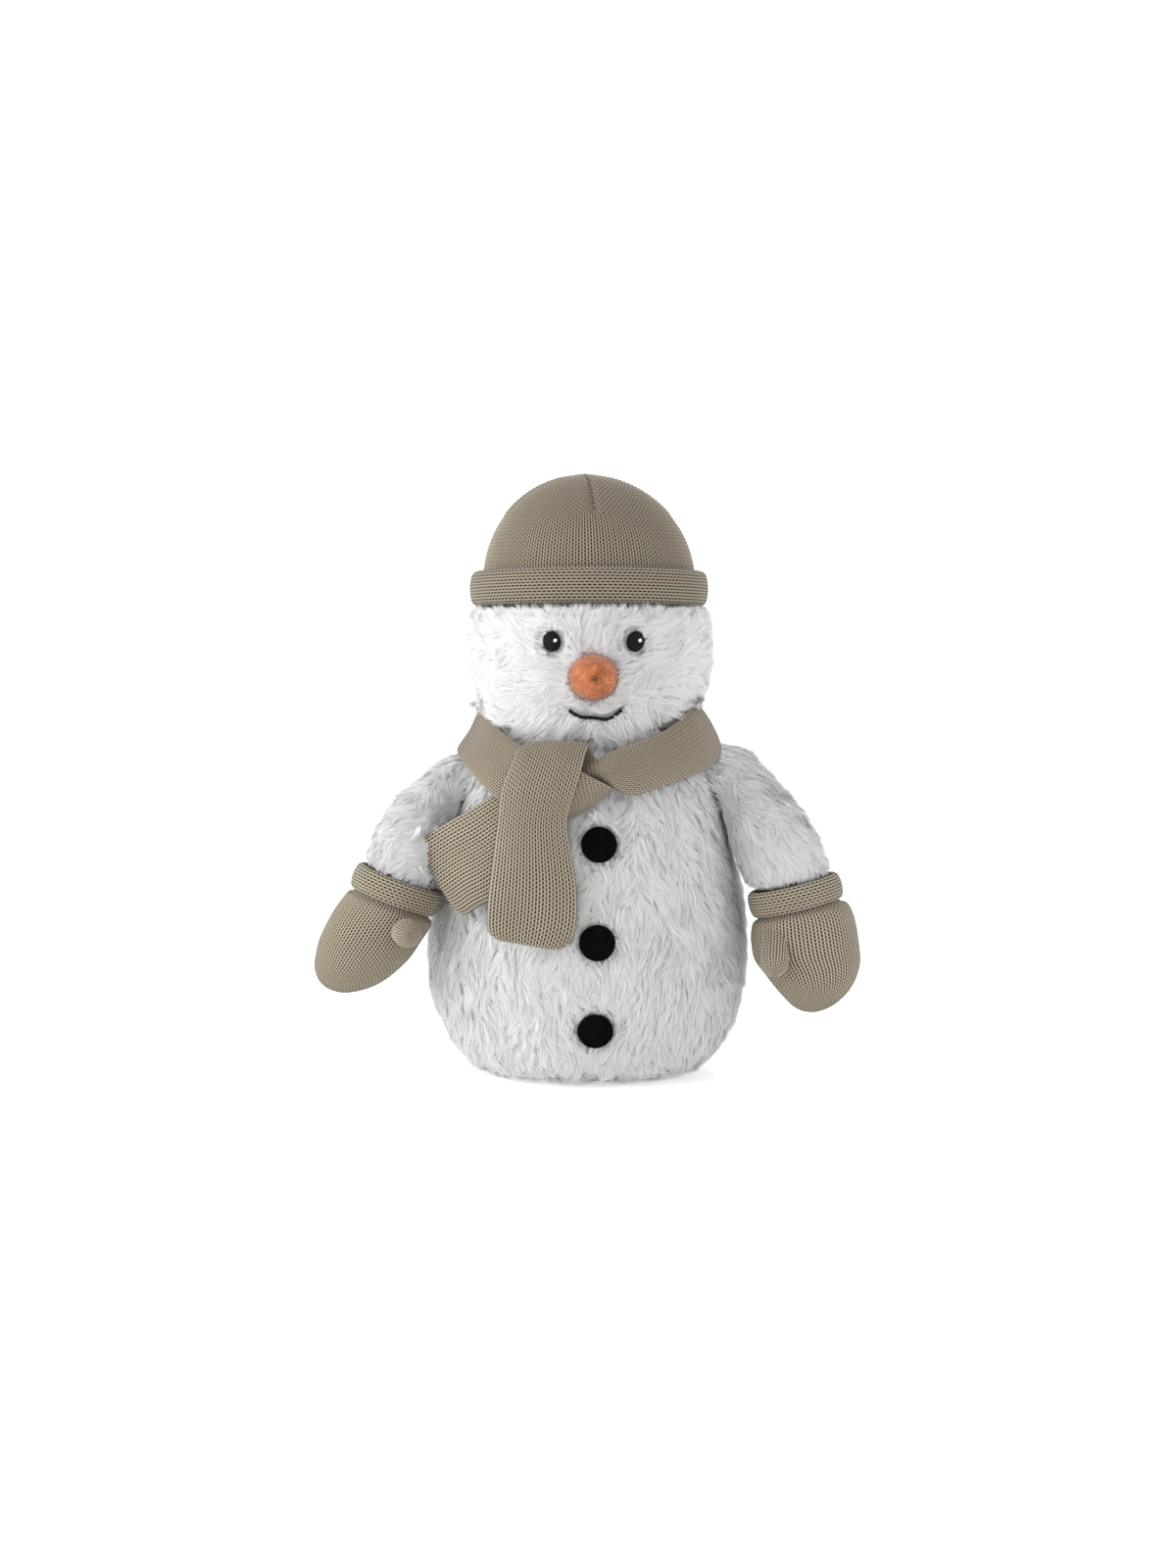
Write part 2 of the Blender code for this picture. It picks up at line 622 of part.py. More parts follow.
def make_face():
    """Nose, eyes, glints and mouth; returns the cutters for their hollows in the fur."""
    hollows = []
    place, out = head_front(FACE_CENTRE_X, NOSE_AT, NOSE_SINK)
    tip_centre = NOSE_LENGTH + NOSE_SINK - NOSE_TIP_RADIUS
    profile = []
    for turn in (90, 70, 48, 24, 0):
        across, beyond = NOSE_TIP_RADIUS * cos(radians(turn)), NOSE_TIP_RADIUS * sin(radians(turn))
        profile.append((across, tip_centre + beyond))
    profile[0] = (0, NOSE_LENGTH + NOSE_SINK)
    profile += [(NOSE_RADIUS * part, NOSE_LENGTH * along) for part, along in NOSE_FOOT] + [(0, 0)]
    nose = turned("nose", profile, 14, ORANGE_VELOUR, NOSE_HEIGHT_RATIO)
    nose.data.transform(facing(NOSE_WAY, place))
    hollows.append(swollen_copy(nose, CAVITY_GAP))
    for side, (x, z) in EYE_PLACES.items():
        place, out = head_front(x * MM, z * MM, EYE_SINK)
        domed_disc("eye_" + side, EYE_HALF_WIDTH, EYE_HALF_HEIGHT, EYE_THICKNESS, place, out, BLACK_THREAD)
        glint_at = place + out * (EYE_THICKNESS + 0.55 * MM) + Vector((2.2 * MM, 0, 0.6 * MM))
        domed_disc(
            "eye_glint_" + side, GLINT_RADIUS, GLINT_RADIUS, GLINT_THICKNESS, glint_at, out, WHITE_THREAD, 6
        )
        hollows.append(dent("eye dent " + side, EYE_HALF_WIDTH, EYE_HALF_HEIGHT, EYE_SINK, place, out))
    mouth = make_mouth()
    hollows.append(swollen_copy(mouth, CAVITY_GAP))
    return hollows


def make_mouth():
    """A stitched smile with a small dip at its middle."""
    curve = bpy.data.curves.new("mouth", "CURVE")
    curve.dimensions = "3D"
    curve.bevel_depth = MOUTH_RADIUS
    curve.bevel_resolution = 1
    curve.use_fill_caps = True
    spline = curve.splines.new("POLY")
    spline.points.add(len(MOUTH_POINTS) - 1)
    for point, (x, z) in zip(spline.points, MOUTH_POINTS):
        place, out = head_front(x * MM, z * MM, 0.4 * MM)
        point.co = (*place, 1)
    drawn = bpy.data.objects.new("mouth line", curve)
    TOY.objects.link(drawn)
    bpy.context.view_layer.update()
    mesh = evaluated_mesh(drawn)
    bpy.data.objects.remove(drawn, do_unlink=True)
    bm = bmesh.new()
    bm.from_mesh(mesh)
    bmesh.ops.remove_doubles(bm, verts=bm.verts, dist=0.00001)
    bm.to_mesh(mesh)
    bm.free()
    return add_object("mouth", mesh, BLACK_THREAD)


def make_buttons():
    """Three felt discs down the front; returns the cutters for their hollows in the pile."""
    hollows = []
    radius = BUTTON_RADIUS
    for name, (x, z) in BUTTON_PLACES.items():
        place, out = body_front(x * MM, z * MM, BUTTON_SINK)
        domed_disc("button_" + name, radius, radius, BUTTON_THICKNESS, place, out, BLACK_FELT)
        hollows.append(dent("button dent " + name, radius, radius, BUTTON_SINK, place, out))
    return hollows


# --- the whole toy ------------------------------------------------------------------------------


def main():
    body, head = make_body(), make_head()
    arms = [make_arm("left"), make_arm("right")]
    scarf_rooms = make_scarf_rooms()
    make_scarf()
    make_hat()
    mittens = [make_mitten("left"), make_mitten("right")]
    cuffs = [make_cuff("left"), make_cuff("right")]
    face_dents = make_face()
    button_dents = make_buttons()
    body_room, head_room = swollen_copy(body, GAP), swollen_copy(head, GAP)
    cut(body, scarf_rooms + button_dents)
    keep_largest(body)
    cut(head, scarf_rooms + [body_room] + face_dents)
    keep_largest(head)
    for arm, cuff in zip(arms, cuffs):
        cut(arm, [body_room, head_room, swollen_copy(cuff, GAP)] + scarf_rooms)
        keep_largest(arm)


clear_scene()
TOY = make_collection("plush_snowman")
CUTTERS = make_collection("cutters", rendered=False)
main()
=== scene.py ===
"""Looks of a plush snowman toy: long white pile with a knitted hat, scarf and mittens.

Metres, +Z up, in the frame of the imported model. The face looks along -Y, left is -X.
"""

from math import cos, pi, radians, sin

import bmesh
import bpy
import numpy as np
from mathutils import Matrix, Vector, kdtree, noise
from mathutils.bvhtree import BVHTree


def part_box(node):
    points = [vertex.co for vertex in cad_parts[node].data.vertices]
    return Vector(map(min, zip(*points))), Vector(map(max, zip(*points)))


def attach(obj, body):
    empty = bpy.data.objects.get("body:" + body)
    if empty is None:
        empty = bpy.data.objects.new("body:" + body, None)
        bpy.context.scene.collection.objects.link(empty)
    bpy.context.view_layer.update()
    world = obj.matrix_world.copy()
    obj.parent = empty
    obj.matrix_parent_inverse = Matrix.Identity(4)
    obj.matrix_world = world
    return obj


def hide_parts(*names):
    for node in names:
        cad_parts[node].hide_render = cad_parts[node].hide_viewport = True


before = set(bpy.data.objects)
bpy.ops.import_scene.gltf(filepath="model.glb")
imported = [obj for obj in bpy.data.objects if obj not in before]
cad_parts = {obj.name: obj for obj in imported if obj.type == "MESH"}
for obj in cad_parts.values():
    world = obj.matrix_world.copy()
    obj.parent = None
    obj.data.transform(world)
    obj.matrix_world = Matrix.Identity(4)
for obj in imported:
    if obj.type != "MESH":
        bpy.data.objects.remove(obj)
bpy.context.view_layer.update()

MM = 0.001
SEED = 12

# Knitting: a wale is the width of a column of stitches, a course is the height of one stitch
WALE, COURSE = 3.3 * MM, 2.0 * MM
BRIM_WALE, BRIM_COURSE = 3.0 * MM, 2.35 * MM
HAND_WALE, HAND_COURSE = 3.0 * MM, 1.75 * MM
CROWN_COURSE = 1.95 * MM
WALE_GRID = 4  # grid columns that carry the relief of each wale
STITCH_LEAN = 0.75  # how far, in stitches, each leg of a V climbs over half a column
STITCH_RELIEF = 0.7 * MM
BRIM_RELIEF, HAND_RELIEF, THUMB_RELIEF = 0.5 * MM, 0.35 * MM, 0.3 * MM

# Hat
CROWN_GORES = 4
GORE_WALES = 26  # columns of stitches in each quarter of the crown
CROWN_LEAN = 2.0 * MM  # how far the top of the dome leans to the left
CROWN_PEAK, PEAK_START = 1.2 * MM, radians(78)  # the small rise where the darts meet
DART_START = radians(37)  # angle above the dome's equator where the darts begin
DART_TURN = radians(5)  # how far the front dart is turned to the right
DART_DEPTH, DART_WIDTH = 1.4 * MM, 1.2 * MM
DART_PUFF = 0.6 * MM  # how far the knitting swells on both sides of a dart
BRIM_THICKNESS, BRIM_BULGE, BRIM_ARCH = 5.6 * MM, 1.6 * MM, 0.5 * MM

# Pile
HAIR_LENGTH = 8.5 * MM
HAIR_DEPTH = 3.8 * MM  # how far below its tip a hair starts
HAIR_WIDTH = 0.33 * MM
HAIR_UNEVEN = 0.18  # how much the hairs differ in the way they face
TIP_HEIGHT = 0.4 * MM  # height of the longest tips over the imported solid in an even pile
TIP_UNEVEN = 1.0 * MM  # how far the other tips stay below them
LOCK_HAIRS = 45  # hairs whose tips lean together in a lock
SWIRL, SWIRL_SIZE = 0.6, 30 * MM  # radians by which the combing wanders, and over what size
SMALL_SWIRL, SMALL_SWIRL_SIZE = 1.25, 11 * MM  # the same from lock to lock
LOCK_DIP, DIP_SIZE = 0.9 * MM, 8 * MM  # how deep and wide the hollows between the tufts are
LOCK_LIFT = 0.35 * MM  # how much higher or lower than its neighbours a lock may stand
SKIN_DEPTH = 4.3 * MM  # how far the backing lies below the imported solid's surface
COVER_NEAR = 8 * MM  # how close a scarf, brim or cuff has to be to matter to a hair
COVERED_OVER, COVERED_UNDER = 14 * MM, 9 * MM  # how far out a cover hides the roots below it
BRIM_TUFTS = 4 * MM  # how far below the brim the pile starts to stand up against it
BRIM_SEED = 77  # of the unevenness of that reach
CHIN_HEIGHT = 184 * MM  # below this the head's pile is longer and hangs over the scarf
CHIN_RISE = 5.5 * MM  # how far it stands out there
SPLAY_HEIGHT = 12 * MM  # below this the body's pile splays out over the floor
FRONT_END = 12 * MM  # where the body's front pile ends and its back pile starts
FLOOR_GAP = 0.6 * MM  # no hair is placed lower than this
MOUTH_PARTING = 7 * MM  # how far from the mouth's line the pile is combed away from it
MOUTH_BARE, MOUTH_CLEAR = 2.6 * MM, 1.9 * MM  # how close to that line a hair may be placed and end
EYE_BARE = 4.5 * MM  # no hair is placed nearer than this to the middle of an eye
HAIRS = {"body front": 190000, "body back": 110000, "head": 185000, "arm": 76000}  # at most
FELT_FIBRES, VELOUR_FIBRES = 600, 12000

# Camera and light
CAMERA_PLACE, CAMERA_PITCH, CAMERA_LENS = (0, -1.30, 0.215), radians(3.062), 59.31
LIGHTS = (  # name, place, target, size and power
    ("key", (-2.0, -0.7, 0.8), (0, 0, 0.13), 2.2, 36),
    ("fill", (1.8, -0.7, 0.8), (0, 0, 0.15), 1.8, 9),
    ("front light", (-0.2, -2.0, 0.9), (0, 0, 0.15), 1.5, 3),
    ("back light", (0.4, 1.5, 1.2), (0, 0, 0.2), 1.2, 6),
)
ROOM_LIGHT = 0.66  # strength of the white room's light on the toy
PAPER_GLOW, PAPER_GLOW_SEEN = 0.15, 0.3  # for the toy, and what is added for the camera

# --- numbers and meshes ------------------------------------------------------------------------


def unit(vectors):
    return vectors / np.maximum(np.linalg.norm(vectors, axis=-1, keepdims=True), 1e-12)


def mesh_object(name, points, faces, uvs=None):
    """A smooth object from points (n, 3), faces (m, 3 or 4) and UV maps as {name: (m, corners, 2)}.

    A face of four corners whose last repeats its first is a triangle.
    """
    fan = faces[:, 0] == faces[:, -1]
    order = np.argsort(fan, kind="stable")
    use = np.ones(faces.shape, bool)
    use[fan[order], -1] = False
    corners = use.sum(1)
    mesh = bpy.data.meshes.new(name)
    mesh.vertices.add(len(points))
    mesh.vertices.foreach_set("co", np.ascontiguousarray(points, np.float32).ravel())
    mesh.loops.add(int(corners.sum()))
    mesh.loops.foreach_set("vertex_index", faces[order][use].astype(np.int32))
    mesh.polygons.add(len(faces))
    mesh.polygons.foreach_set("loop_start", (np.cumsum(corners) - corners).astype(np.int32))
    mesh.update(calc_edges=True)
    for layer, values in (uvs or {}).items():
        data = mesh.uv_layers.new(name=layer).data
        data.foreach_set("uv", np.ascontiguousarray(values[order][use], np.float32).ravel())
    mesh.shade_smooth()
    obj = bpy.data.objects.new(name, mesh)
    bpy.context.scene.collection.objects.link(obj)
    return obj


def joined_arrays(parts):
    """The points and faces of several (points, faces) pairs as one pair."""
    firsts = np.cumsum([0] + [len(points) for points, _ in parts])
    faces = [part_faces + first for (_, part_faces), first in zip(parts, firsts)]
    return np.concatenate([points for points, _ in parts]), np.concatenate(faces)


def node_arrays(name):
    """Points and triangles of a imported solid."""
    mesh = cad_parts[name].data
    mesh.calc_loop_triangles()
    points = np.empty(len(mesh.vertices) * 3)
    mesh.vertices.foreach_get("co", points)
    triangles = np.empty(len(mesh.loop_triangles) * 3, np.int32)
    mesh.loop_triangles.foreach_get("vertices", triangles)
    return points.reshape(-1, 3), triangles.reshape(-1, 3)


def tree_of(*names):
    """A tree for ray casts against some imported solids."""
    points, triangles = joined_arrays([node_arrays(name) for name in names])
    return BVHTree.FromPolygons(points.tolist(), triangles.tolist())


def box_centre(node):
    low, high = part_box(node)
    return np.array((low + high) / 2)


def half_size(node):
    low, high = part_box(node)
    return np.array([(b - a) / 2 for a, b in zip(low, high)])


def flat_frame(node, way):
    """Centre of a flat disc or ring, its axis on the side of a given way, and its points."""
    points, _ = node_arrays(node)
    centre = points.mean(0)
    _, _, axes = np.linalg.svd(points - centre, full_matrices=False)
    return centre, axes[2] if axes[2] @ np.array(way) > 0 else -axes[2], points


def distances_along(path):
    """How far along a path of points each point lies."""
    return np.concatenate(([0], np.cumsum(np.linalg.norm(np.diff(path, axis=0), axis=1))))


def add_piece(obj, material, slot, *nodes):
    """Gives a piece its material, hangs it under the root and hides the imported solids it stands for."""
    obj.data.materials.clear()
    obj.data.materials.append(material)
    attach(obj, "root")
    if nodes:
        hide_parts(*nodes)
    return obj


def smooth_noise(points, scale, seed=0.0):
    """Soft noise from -1 to 1 at each point, with features about one scale wide."""
    shift = Vector((seed * 7.31, seed * 3.17, seed * 5.53))
    return np.array([noise.noise(Vector(p) / scale + shift) for p in points])


def catmull_rom(rows, step):
    """Rows about a step apart on a smooth curve through rows of any length."""
    rows = [np.array(row, float) for row in rows]
    ends = [2 * rows[0] - rows[1]] + rows + [2 * rows[-1] - rows[-2]]
    found = []
    for a, b, c, d in zip(ends, ends[1:], ends[2:], ends[3:]):
        count = max(1, round(float(np.linalg.norm(c - b)) / step))
        for t in np.arange(count) / count:
            bend = (2 * a - 5 * b + 4 * c - d) * t**2 + (3 * b - a - 3 * c + d) * t**3
            found.append(0.5 * (2 * b + (c - a) * t + bend))
    return np.array(found + [rows[-1]])


# --- shader building ---------------------------------------------------------------------------


class Tree:
    """A shader tree with short ways to add and link nodes."""

    def __init__(self, tree):
        self.tree = tree

    def add(self, kind, **sockets):
        node = self.tree.nodes.new(kind)
        for name, value in sockets.items():
            self.feed(node.inputs[name.replace("_", " ")], value)
        return node

    def feed(self, socket, value):
        if isinstance(value, bpy.types.NodeSocket):
            self.tree.links.new(value, socket)
        else:
            socket.default_value = value

    def math(self, operation, *values, clamp=False):
        node = self.tree.nodes.new("ShaderNodeMath")
        node.operation = operation
        node.use_clamp = clamp
        for socket, value in zip(node.inputs, values):
            self.feed(socket, value)
        return node.outputs[0]

    def mix(self, factor, first, second):
        node = self.tree.nodes.new("ShaderNodeMix")
        node.data_type = "RGBA"
        self.feed(node.inputs["Factor"], factor)
        self.feed(node.inputs[6], first)
        self.feed(node.inputs[7], second)
        return node.outputs[2]

    def noise(self, vector, scale, detail=3.0, roughness=0.55):
        node = self.add("ShaderNodeTexNoise", Vector=vector, Scale=scale, Detail=detail, Roughness=roughness)
        return node.outputs["Fac"]

    def place(self):
        return self.add("ShaderNodeTexCoord").outputs["Object"]

    def uv(self, layer):
        node = self.tree.nodes.new("ShaderNodeUVMap")
        node.uv_map = layer
        return node.outputs["UV"]

    def bump(self, shader, strength, distance, height):
        node = self.add("ShaderNodeBump", Strength=strength, Distance=distance, Height=height)
        self.feed(shader.inputs["Normal"], node.outputs["Normal"])

    def for_camera(self, added, otherwise):
        """A value on the stage that is raised where the camera sees it."""
        seen = self.add("ShaderNodeLightPath").outputs["Is Camera Ray"]
        return self.math("MULTIPLY_ADD", seen, added, otherwise)


def new_group(name, inputs, outputs):
    """A shader node group; inputs and outputs are (name, socket type, default) rows."""
    group = bpy.data.node_groups.new(name, "ShaderNodeTree")
    for label, kind, default in inputs:
        socket = group.interface.new_socket(label, in_out="INPUT", socket_type="NodeSocket" + kind)
        socket.default_value = default
    for label, kind in outputs:
        group.interface.new_socket(label, in_out="OUTPUT", socket_type="NodeSocket" + kind)
    tree = Tree(group)
    return group, tree, tree.add("NodeGroupInput").outputs, tree.add("NodeGroupOutput").inputs


def new_material(name, roughness, sheen=0.0, sheen_roughness=0.5, specular=0.5):
    """An empty principled material and its tree."""
    material = bpy.data.materials.new(name)
    material.use_nodes = True
    tree = Tree(material.node_tree)
    shader = material.node_tree.nodes["Principled BSDF"]
    shader.inputs["Roughness"].default_value = roughness
    shader.inputs["Sheen Weight"].default_value = sheen
    shader.inputs["Sheen Roughness"].default_value = sheen_roughness
    shader.inputs["Specular IOR Level"].default_value = specular
    return material, tree, shader


def place_group(tree, group, **values):
    node = tree.tree.nodes.new("ShaderNodeGroup")
    node.node_tree = group
    for name, value in values.items():
        tree.feed(node.inputs[name.replace("_", " ")], value)
    return node.outputs


def stitch_group():
    """Masks of V-shaped knitted stitches and of the painted shade in their gaps and on their legs' sides,
    from a map that counts columns along U and stitches along V.
    """
    group, tree, _, out = new_group(
        "knitted stitches", [], [("Gap shade", "Float"), ("Shade", "Float"), ("Height", "Float")]
    )
    parts = tree.add("ShaderNodeSeparateXYZ", Vector=tree.uv("Stitches")).outputs
    across = tree.math("FRACT", parts["X"])
    edge = tree.math("ABSOLUTE", tree.math("MULTIPLY_ADD", across, 2.0, -1.0))
    climb = tree.math("MULTIPLY", edge, STITCH_LEAN)
    along = tree.math("FRACT", tree.math("SUBTRACT", parts["Y"], climb))
    ridge = tree.math("COSINE", tree.math("MULTIPLY", along, 2 * pi))
    leg = tree.math("ABSOLUTE", tree.math("SINE", tree.math("MULTIPLY", across, 2 * pi)))
    crest = tree.math("MULTIPLY_ADD", ridge, 0.5, 0.5)
    gap = tree.math("SUBTRACT", 1.0, crest)
    # painted shade in the gaps between columns and, a little weaker, between the two legs of each column
    valley = tree.math("MULTIPLY_ADD", leg, -2.4, 2.3, clamp=True)
    gap_shade = tree.math("MULTIPLY", valley, tree.math("MULTIPLY_ADD", gap, 2.8, -0.45, clamp=True))
    tree.feed(out["Gap shade"], tree.math("MULTIPLY", gap_shade, tree.math("MULTIPLY_ADD", edge, 0.3, 0.7)))
    # painted shade: the yarn turns darker towards the sides of each leg and towards the gaps between stitches
    side = tree.math("MULTIPLY_ADD", gap, 0.35, 0.85)
    tree.feed(out["Shade"], tree.math("MULTIPLY_ADD", leg, -1.05, side, clamp=True))
    # the round form of each leg with the fine twist of its yarn
    twist_turn = tree.math("ADD", tree.math("MULTIPLY", along, 14.0), tree.math("MULTIPLY", across, 44.0))
    long_form = tree.math("MULTIPLY_ADD", crest, 0.55, 0.45)
    form = tree.math("MULTIPLY", long_form, tree.math("MULTIPLY_ADD", leg, 0.6, 0.4))
    tree.feed(out["Height"], tree.math("MULTIPLY_ADD", tree.math("SINE", twist_turn), 0.05, form))
    return group


def mottle_group():
    """A soft unevenness of tone, as in dyed yarn or brushed cloth."""
    group, tree, given, out = new_group(
        "uneven tone", [("Size", "Float", 60.0), ("Strength", "Float", 0.1)], [("Tone", "Float")]
    )
    place = tree.place()
    wide = tree.noise(place, given["Size"])
    fine = tree.noise(place, tree.math("MULTIPLY", given["Size"], 9.0))
    both = tree.math("ADD", tree.math("MULTIPLY", wide, 0.6), tree.math("MULTIPLY", fine, 0.4))
    swing = tree.math("MULTIPLY", tree.math("SUBTRACT", both, 0.5), given["Strength"])
    tree.feed(out["Tone"], tree.math("MULTIPLY_ADD", swing, 2.0, 0.5))
    return group


STITCHES = stitch_group()
UNEVEN = mottle_group()


def scaled(colour, factor):
    return tuple(factor * c for c in colour[:3]) + (1,)


def knit_material(name, shade, light):
    """Soft matt cotton yarn in V stitches, with painted shade in the gaps between them and on the sides of
    each leg.
    """
    material, tree, shader = new_material(name, 0.85, sheen=0.4, sheen_roughness=0.4, specular=0.25)
    masks = place_group(tree, STITCHES)
    tone = place_group(tree, UNEVEN, Size=90.0, Strength=0.35)["Tone"]
    bright = tree.mix(tone, scaled(light, 0.88), scaled(light, 1.12))
    # painted shade on the sides of each leg, mixed towards the shade colour
    shaded_legs = tree.mix(masks["Shade"], bright, shade)
    # the gaps between stitches are painted near-black as shade
    tree.feed(shader.inputs["Base Color"], tree.mix(masks["Gap shade"], shaded_legs, (0.006, 0.0045, 0.003, 1)))
    tree.bump(shader, 0.55, 0.35 * MM, masks["Height"])
    return material


def pile_material():
    """White pile, with painted shade that makes it cooler and darker at the roots, and a little different
    from strand to strand.
    """
    material, tree, shader = new_material("white pile", 0.75, sheen=0.3, sheen_roughness=0.35, specular=0.3)
    parts = tree.add("ShaderNodeSeparateXYZ", Vector=tree.uv("OFBake")).outputs
    strand = tree.math("FRACT", tree.math("MULTIPLY", parts["X"], 37.0))
    # painted shade: the roots are greyer and cooler than the tips
    root = tree.mix(strand, (0.88, 0.885, 0.888, 1), (0.93, 0.93, 0.93, 1))
    tip = tree.mix(strand, (0.94, 0.942, 0.942, 1), (0.975, 0.975, 0.97, 1))
    reach = tree.math("POWER", parts["Y"], 0.7)
    tree.feed(shader.inputs["Base Color"], tree.mix(reach, root, tip))
    return material


def cloth_material(name, roughness, mottle, dark, light, bump=None, **finish):
    """Cloth or thread of uneven tone: mottle is (size, strength), bump is (strength, depth, size)."""
    material, tree, shader = new_material(name, roughness, **finish)
    tone = place_group(tree, UNEVEN, Size=mottle[0], Strength=mottle[1])["Tone"]
    tree.feed(shader.inputs["Base Color"], tree.mix(tone, dark, light))
    if bump:
        tree.bump(shader, bump[0], bump[1], tree.noise(tree.place(), bump[2]))
    return material


KNIT = knit_material("taupe knitting", (0.085, 0.069, 0.05, 1), (0.495, 0.425, 0.318, 1))
# the same yarn as the other knitting, darker all over as painted shade on the hat
SHADED_HAT_KNIT = knit_material("taupe knitting of the hat, darkened as painted shade", (0.06, 0.048, 0.035, 1), (0.375, 0.322, 0.24, 1))
PILE = pile_material()
# the woven backing seen between the hairs, covered in short white down
SKIN = cloth_material(
    "plush backing", 0.9, (120.0, 0.5), (0.84, 0.845, 0.85, 1), (0.93, 0.93, 0.93, 1),
    (0.6, 0.5 * MM, 900.0), sheen=0.3,
)
VELOUR = cloth_material(
    "orange velour", 0.8, (240.0, 1.1), (0.34, 0.096, 0.036, 1), (0.90, 0.325, 0.14, 1),
    (0.5, 0.3 * MM, 1600.0), sheen=0.4, sheen_roughness=0.4, specular=0.2,
)
BLACK_THREAD = cloth_material(
    "black thread", 0.5, (900.0, 1.0), (0.001, 0.001, 0.0015, 1), (0.005, 0.005, 0.006, 1), specular=0.25
)
WHITE_THREAD = cloth_material(
    "white thread", 0.45, (900.0, 1.0), (0.75, 0.75, 0.75, 1), (0.95, 0.95, 0.95, 1), specular=0.25
)
# a mat of short fibres that catch a little light
FELT = cloth_material(
    "black felt", 0.95, (500.0, 1.0), (0.0015, 0.0015, 0.002, 1), (0.006, 0.006, 0.007, 1),
    (0.8, 0.4 * MM, 1500.0), specular=0.03,
)

# --- camera, light and floor -------------------------------------------------------------------


def make_camera():
    data = bpy.data.cameras.new("camera")
    data.lens, data.sensor_width = CAMERA_LENS, 36
    camera = bpy.data.objects.new("camera", data)
    camera.location = CAMERA_PLACE
    camera.rotation_euler = (pi / 2 - CAMERA_PITCH, 0, 0)
    bpy.context.scene.collection.objects.link(camera)
    bpy.context.scene.camera = camera


def area_light(name, place, target, size, power):
    data = bpy.data.lights.new(name, "AREA")
    data.shape = "DISK"
    data.size, data.energy = size, power
    lamp = bpy.data.objects.new(name, data)
    lamp.location = place
    lamp.rotation_euler = (Vector(target) - Vector(place)).to_track_quat("-Z", "Y").to_euler()
    bpy.context.scene.collection.objects.link(lamp)


def make_studio():
    """A white sweep with a big soft light at the upper left and weaker light from the other sides."""
    scene = bpy.context.scene
    scene.view_settings.view_transform = "Standard"
    for light in LIGHTS:
        area_light(*light)
    world = bpy.data.worlds.new("white room")
    scene.world = world
    world.use_nodes = True
    tree = Tree(world.node_tree)
    background = world.node_tree.nodes["Background"]
    tree.feed(background.inputs["Color"], (1, 1, 1, 1))
    tree.feed(background.inputs["Strength"], tree.for_camera(1 - ROOM_LIGHT, ROOM_LIGHT))
    # the floor, a quarter circle up behind the toy and the wall
    profile = [(-3.0, 0.0), (2.0, 0.0)] + [
        (2.0 + sin(radians(t)), 1.0 - cos(radians(t))) for t in range(10, 91, 10)
    ] + [(3.0, 3.5)]
    points = np.array([(x, y, z) for y, z in profile for x in (-5.0, 5.0)])
    rows = np.arange(len(profile) - 1)[:, None] * 2
    sweep = mesh_object("paper_sweep", points, rows + np.array((0, 1, 3, 2)))
    material, tree, shader = new_material("white paper", 0.8)
    shader.inputs["Base Color"].default_value = (0.95, 0.95, 0.95, 1)
    shader.inputs["Emission Color"].default_value = (1, 1, 1, 1)
    tree.feed(shader.inputs["Emission Strength"], tree.for_camera(PAPER_GLOW_SEEN, PAPER_GLOW))
    sweep.data.materials.append(material)


# --- knitting ----------------------------------------------------------------------------------


def stitch_edge(across):
    """1 at a column's borders and 0 at its middle."""
    return np.abs(2 * (across % 1.0) - 1)


def quads(grid):
    """The four corners' values of every cell of a grid."""
    return np.stack((grid[:-1, :-1], grid[:-1, 1:], grid[1:, 1:], grid[1:, :-1]), -1).reshape(-1, 4)


def knitted(place, across, courses, ring=False, loop=False, relief=STITCH_RELIEF):
    """A surface in V stitches over place(u, v), where u counts columns and v stitches along them.

    across lists the u values of the grid. A ring's last column meets its first and a loop's last
    row meets its first. The open ends of a ring that is no loop are closed with fans.
    """
    u, v = np.meshgrid(across, np.arange(0, courses * 2 + 1) / 2)
    climb = STITCH_LEAN * stitch_edge(u)
    fade = np.ones_like(v)
    if not loop:
        fade = np.clip(np.minimum(v, courses - v), 0, 1)
    v_there = v + climb * fade
    crest = 0.5 + 0.5 * np.cos(2 * pi * v)
    leg = np.abs(np.sin(2 * pi * u))
    height = relief * ((0.3 + 0.7 * crest) * (0.5 + 0.5 * leg) - 0.5) * fade
    nudge = 0.05
    side = place(u + nudge, v_there) - place(u - nudge, v_there)
    run = place(u, v_there + nudge) - place(u, v_there - nudge)
    points = place(u, v_there) + unit(np.cross(side, run)) * height[..., None]
    rows, columns = u.shape
    kept_rows, kept_columns = rows - loop, columns - ring
    row_starts = (np.arange(rows) % kept_rows)[:, None] * kept_columns
    index = row_starts + np.arange(columns)[None, :] % kept_columns
    points = points[:kept_rows, :kept_columns].reshape(-1, 3)
    faces = quads(index)
    span = across[-1] - across[0]
    stitches = np.stack((quads(u), quads(v_there)), -1)
    flat = np.stack((quads(u - across[0]) / span, quads(v) / courses), -1)
    if ring and not loop:
        for row, order in ((0, 1), (rows - 1, -1)):
            edge = index[row, :kept_columns]
            hub = len(points)
            points = np.concatenate((points, points[edge].mean(0, keepdims=True)))
            hubs = np.full(len(edge), hub)
            fan = np.stack((hubs, np.roll(edge, -order), edge, hubs), -1)
            faces = np.concatenate((faces, fan))
            stitches = np.concatenate((stitches, np.tile((0.25, v[row, 0]), (len(edge), 4, 1))))
            flat = np.concatenate((flat, np.tile((0.0, v[row, 0] / courses), (len(edge), 4, 1))))
    return points, faces, {"Stitches": stitches, "OFBake": flat}


def columns_of(first, last, each=WALE_GRID):
    """Grid columns from one wale to another, so many to each."""
    return first + np.arange(round((last - first) * each) + 1) / each


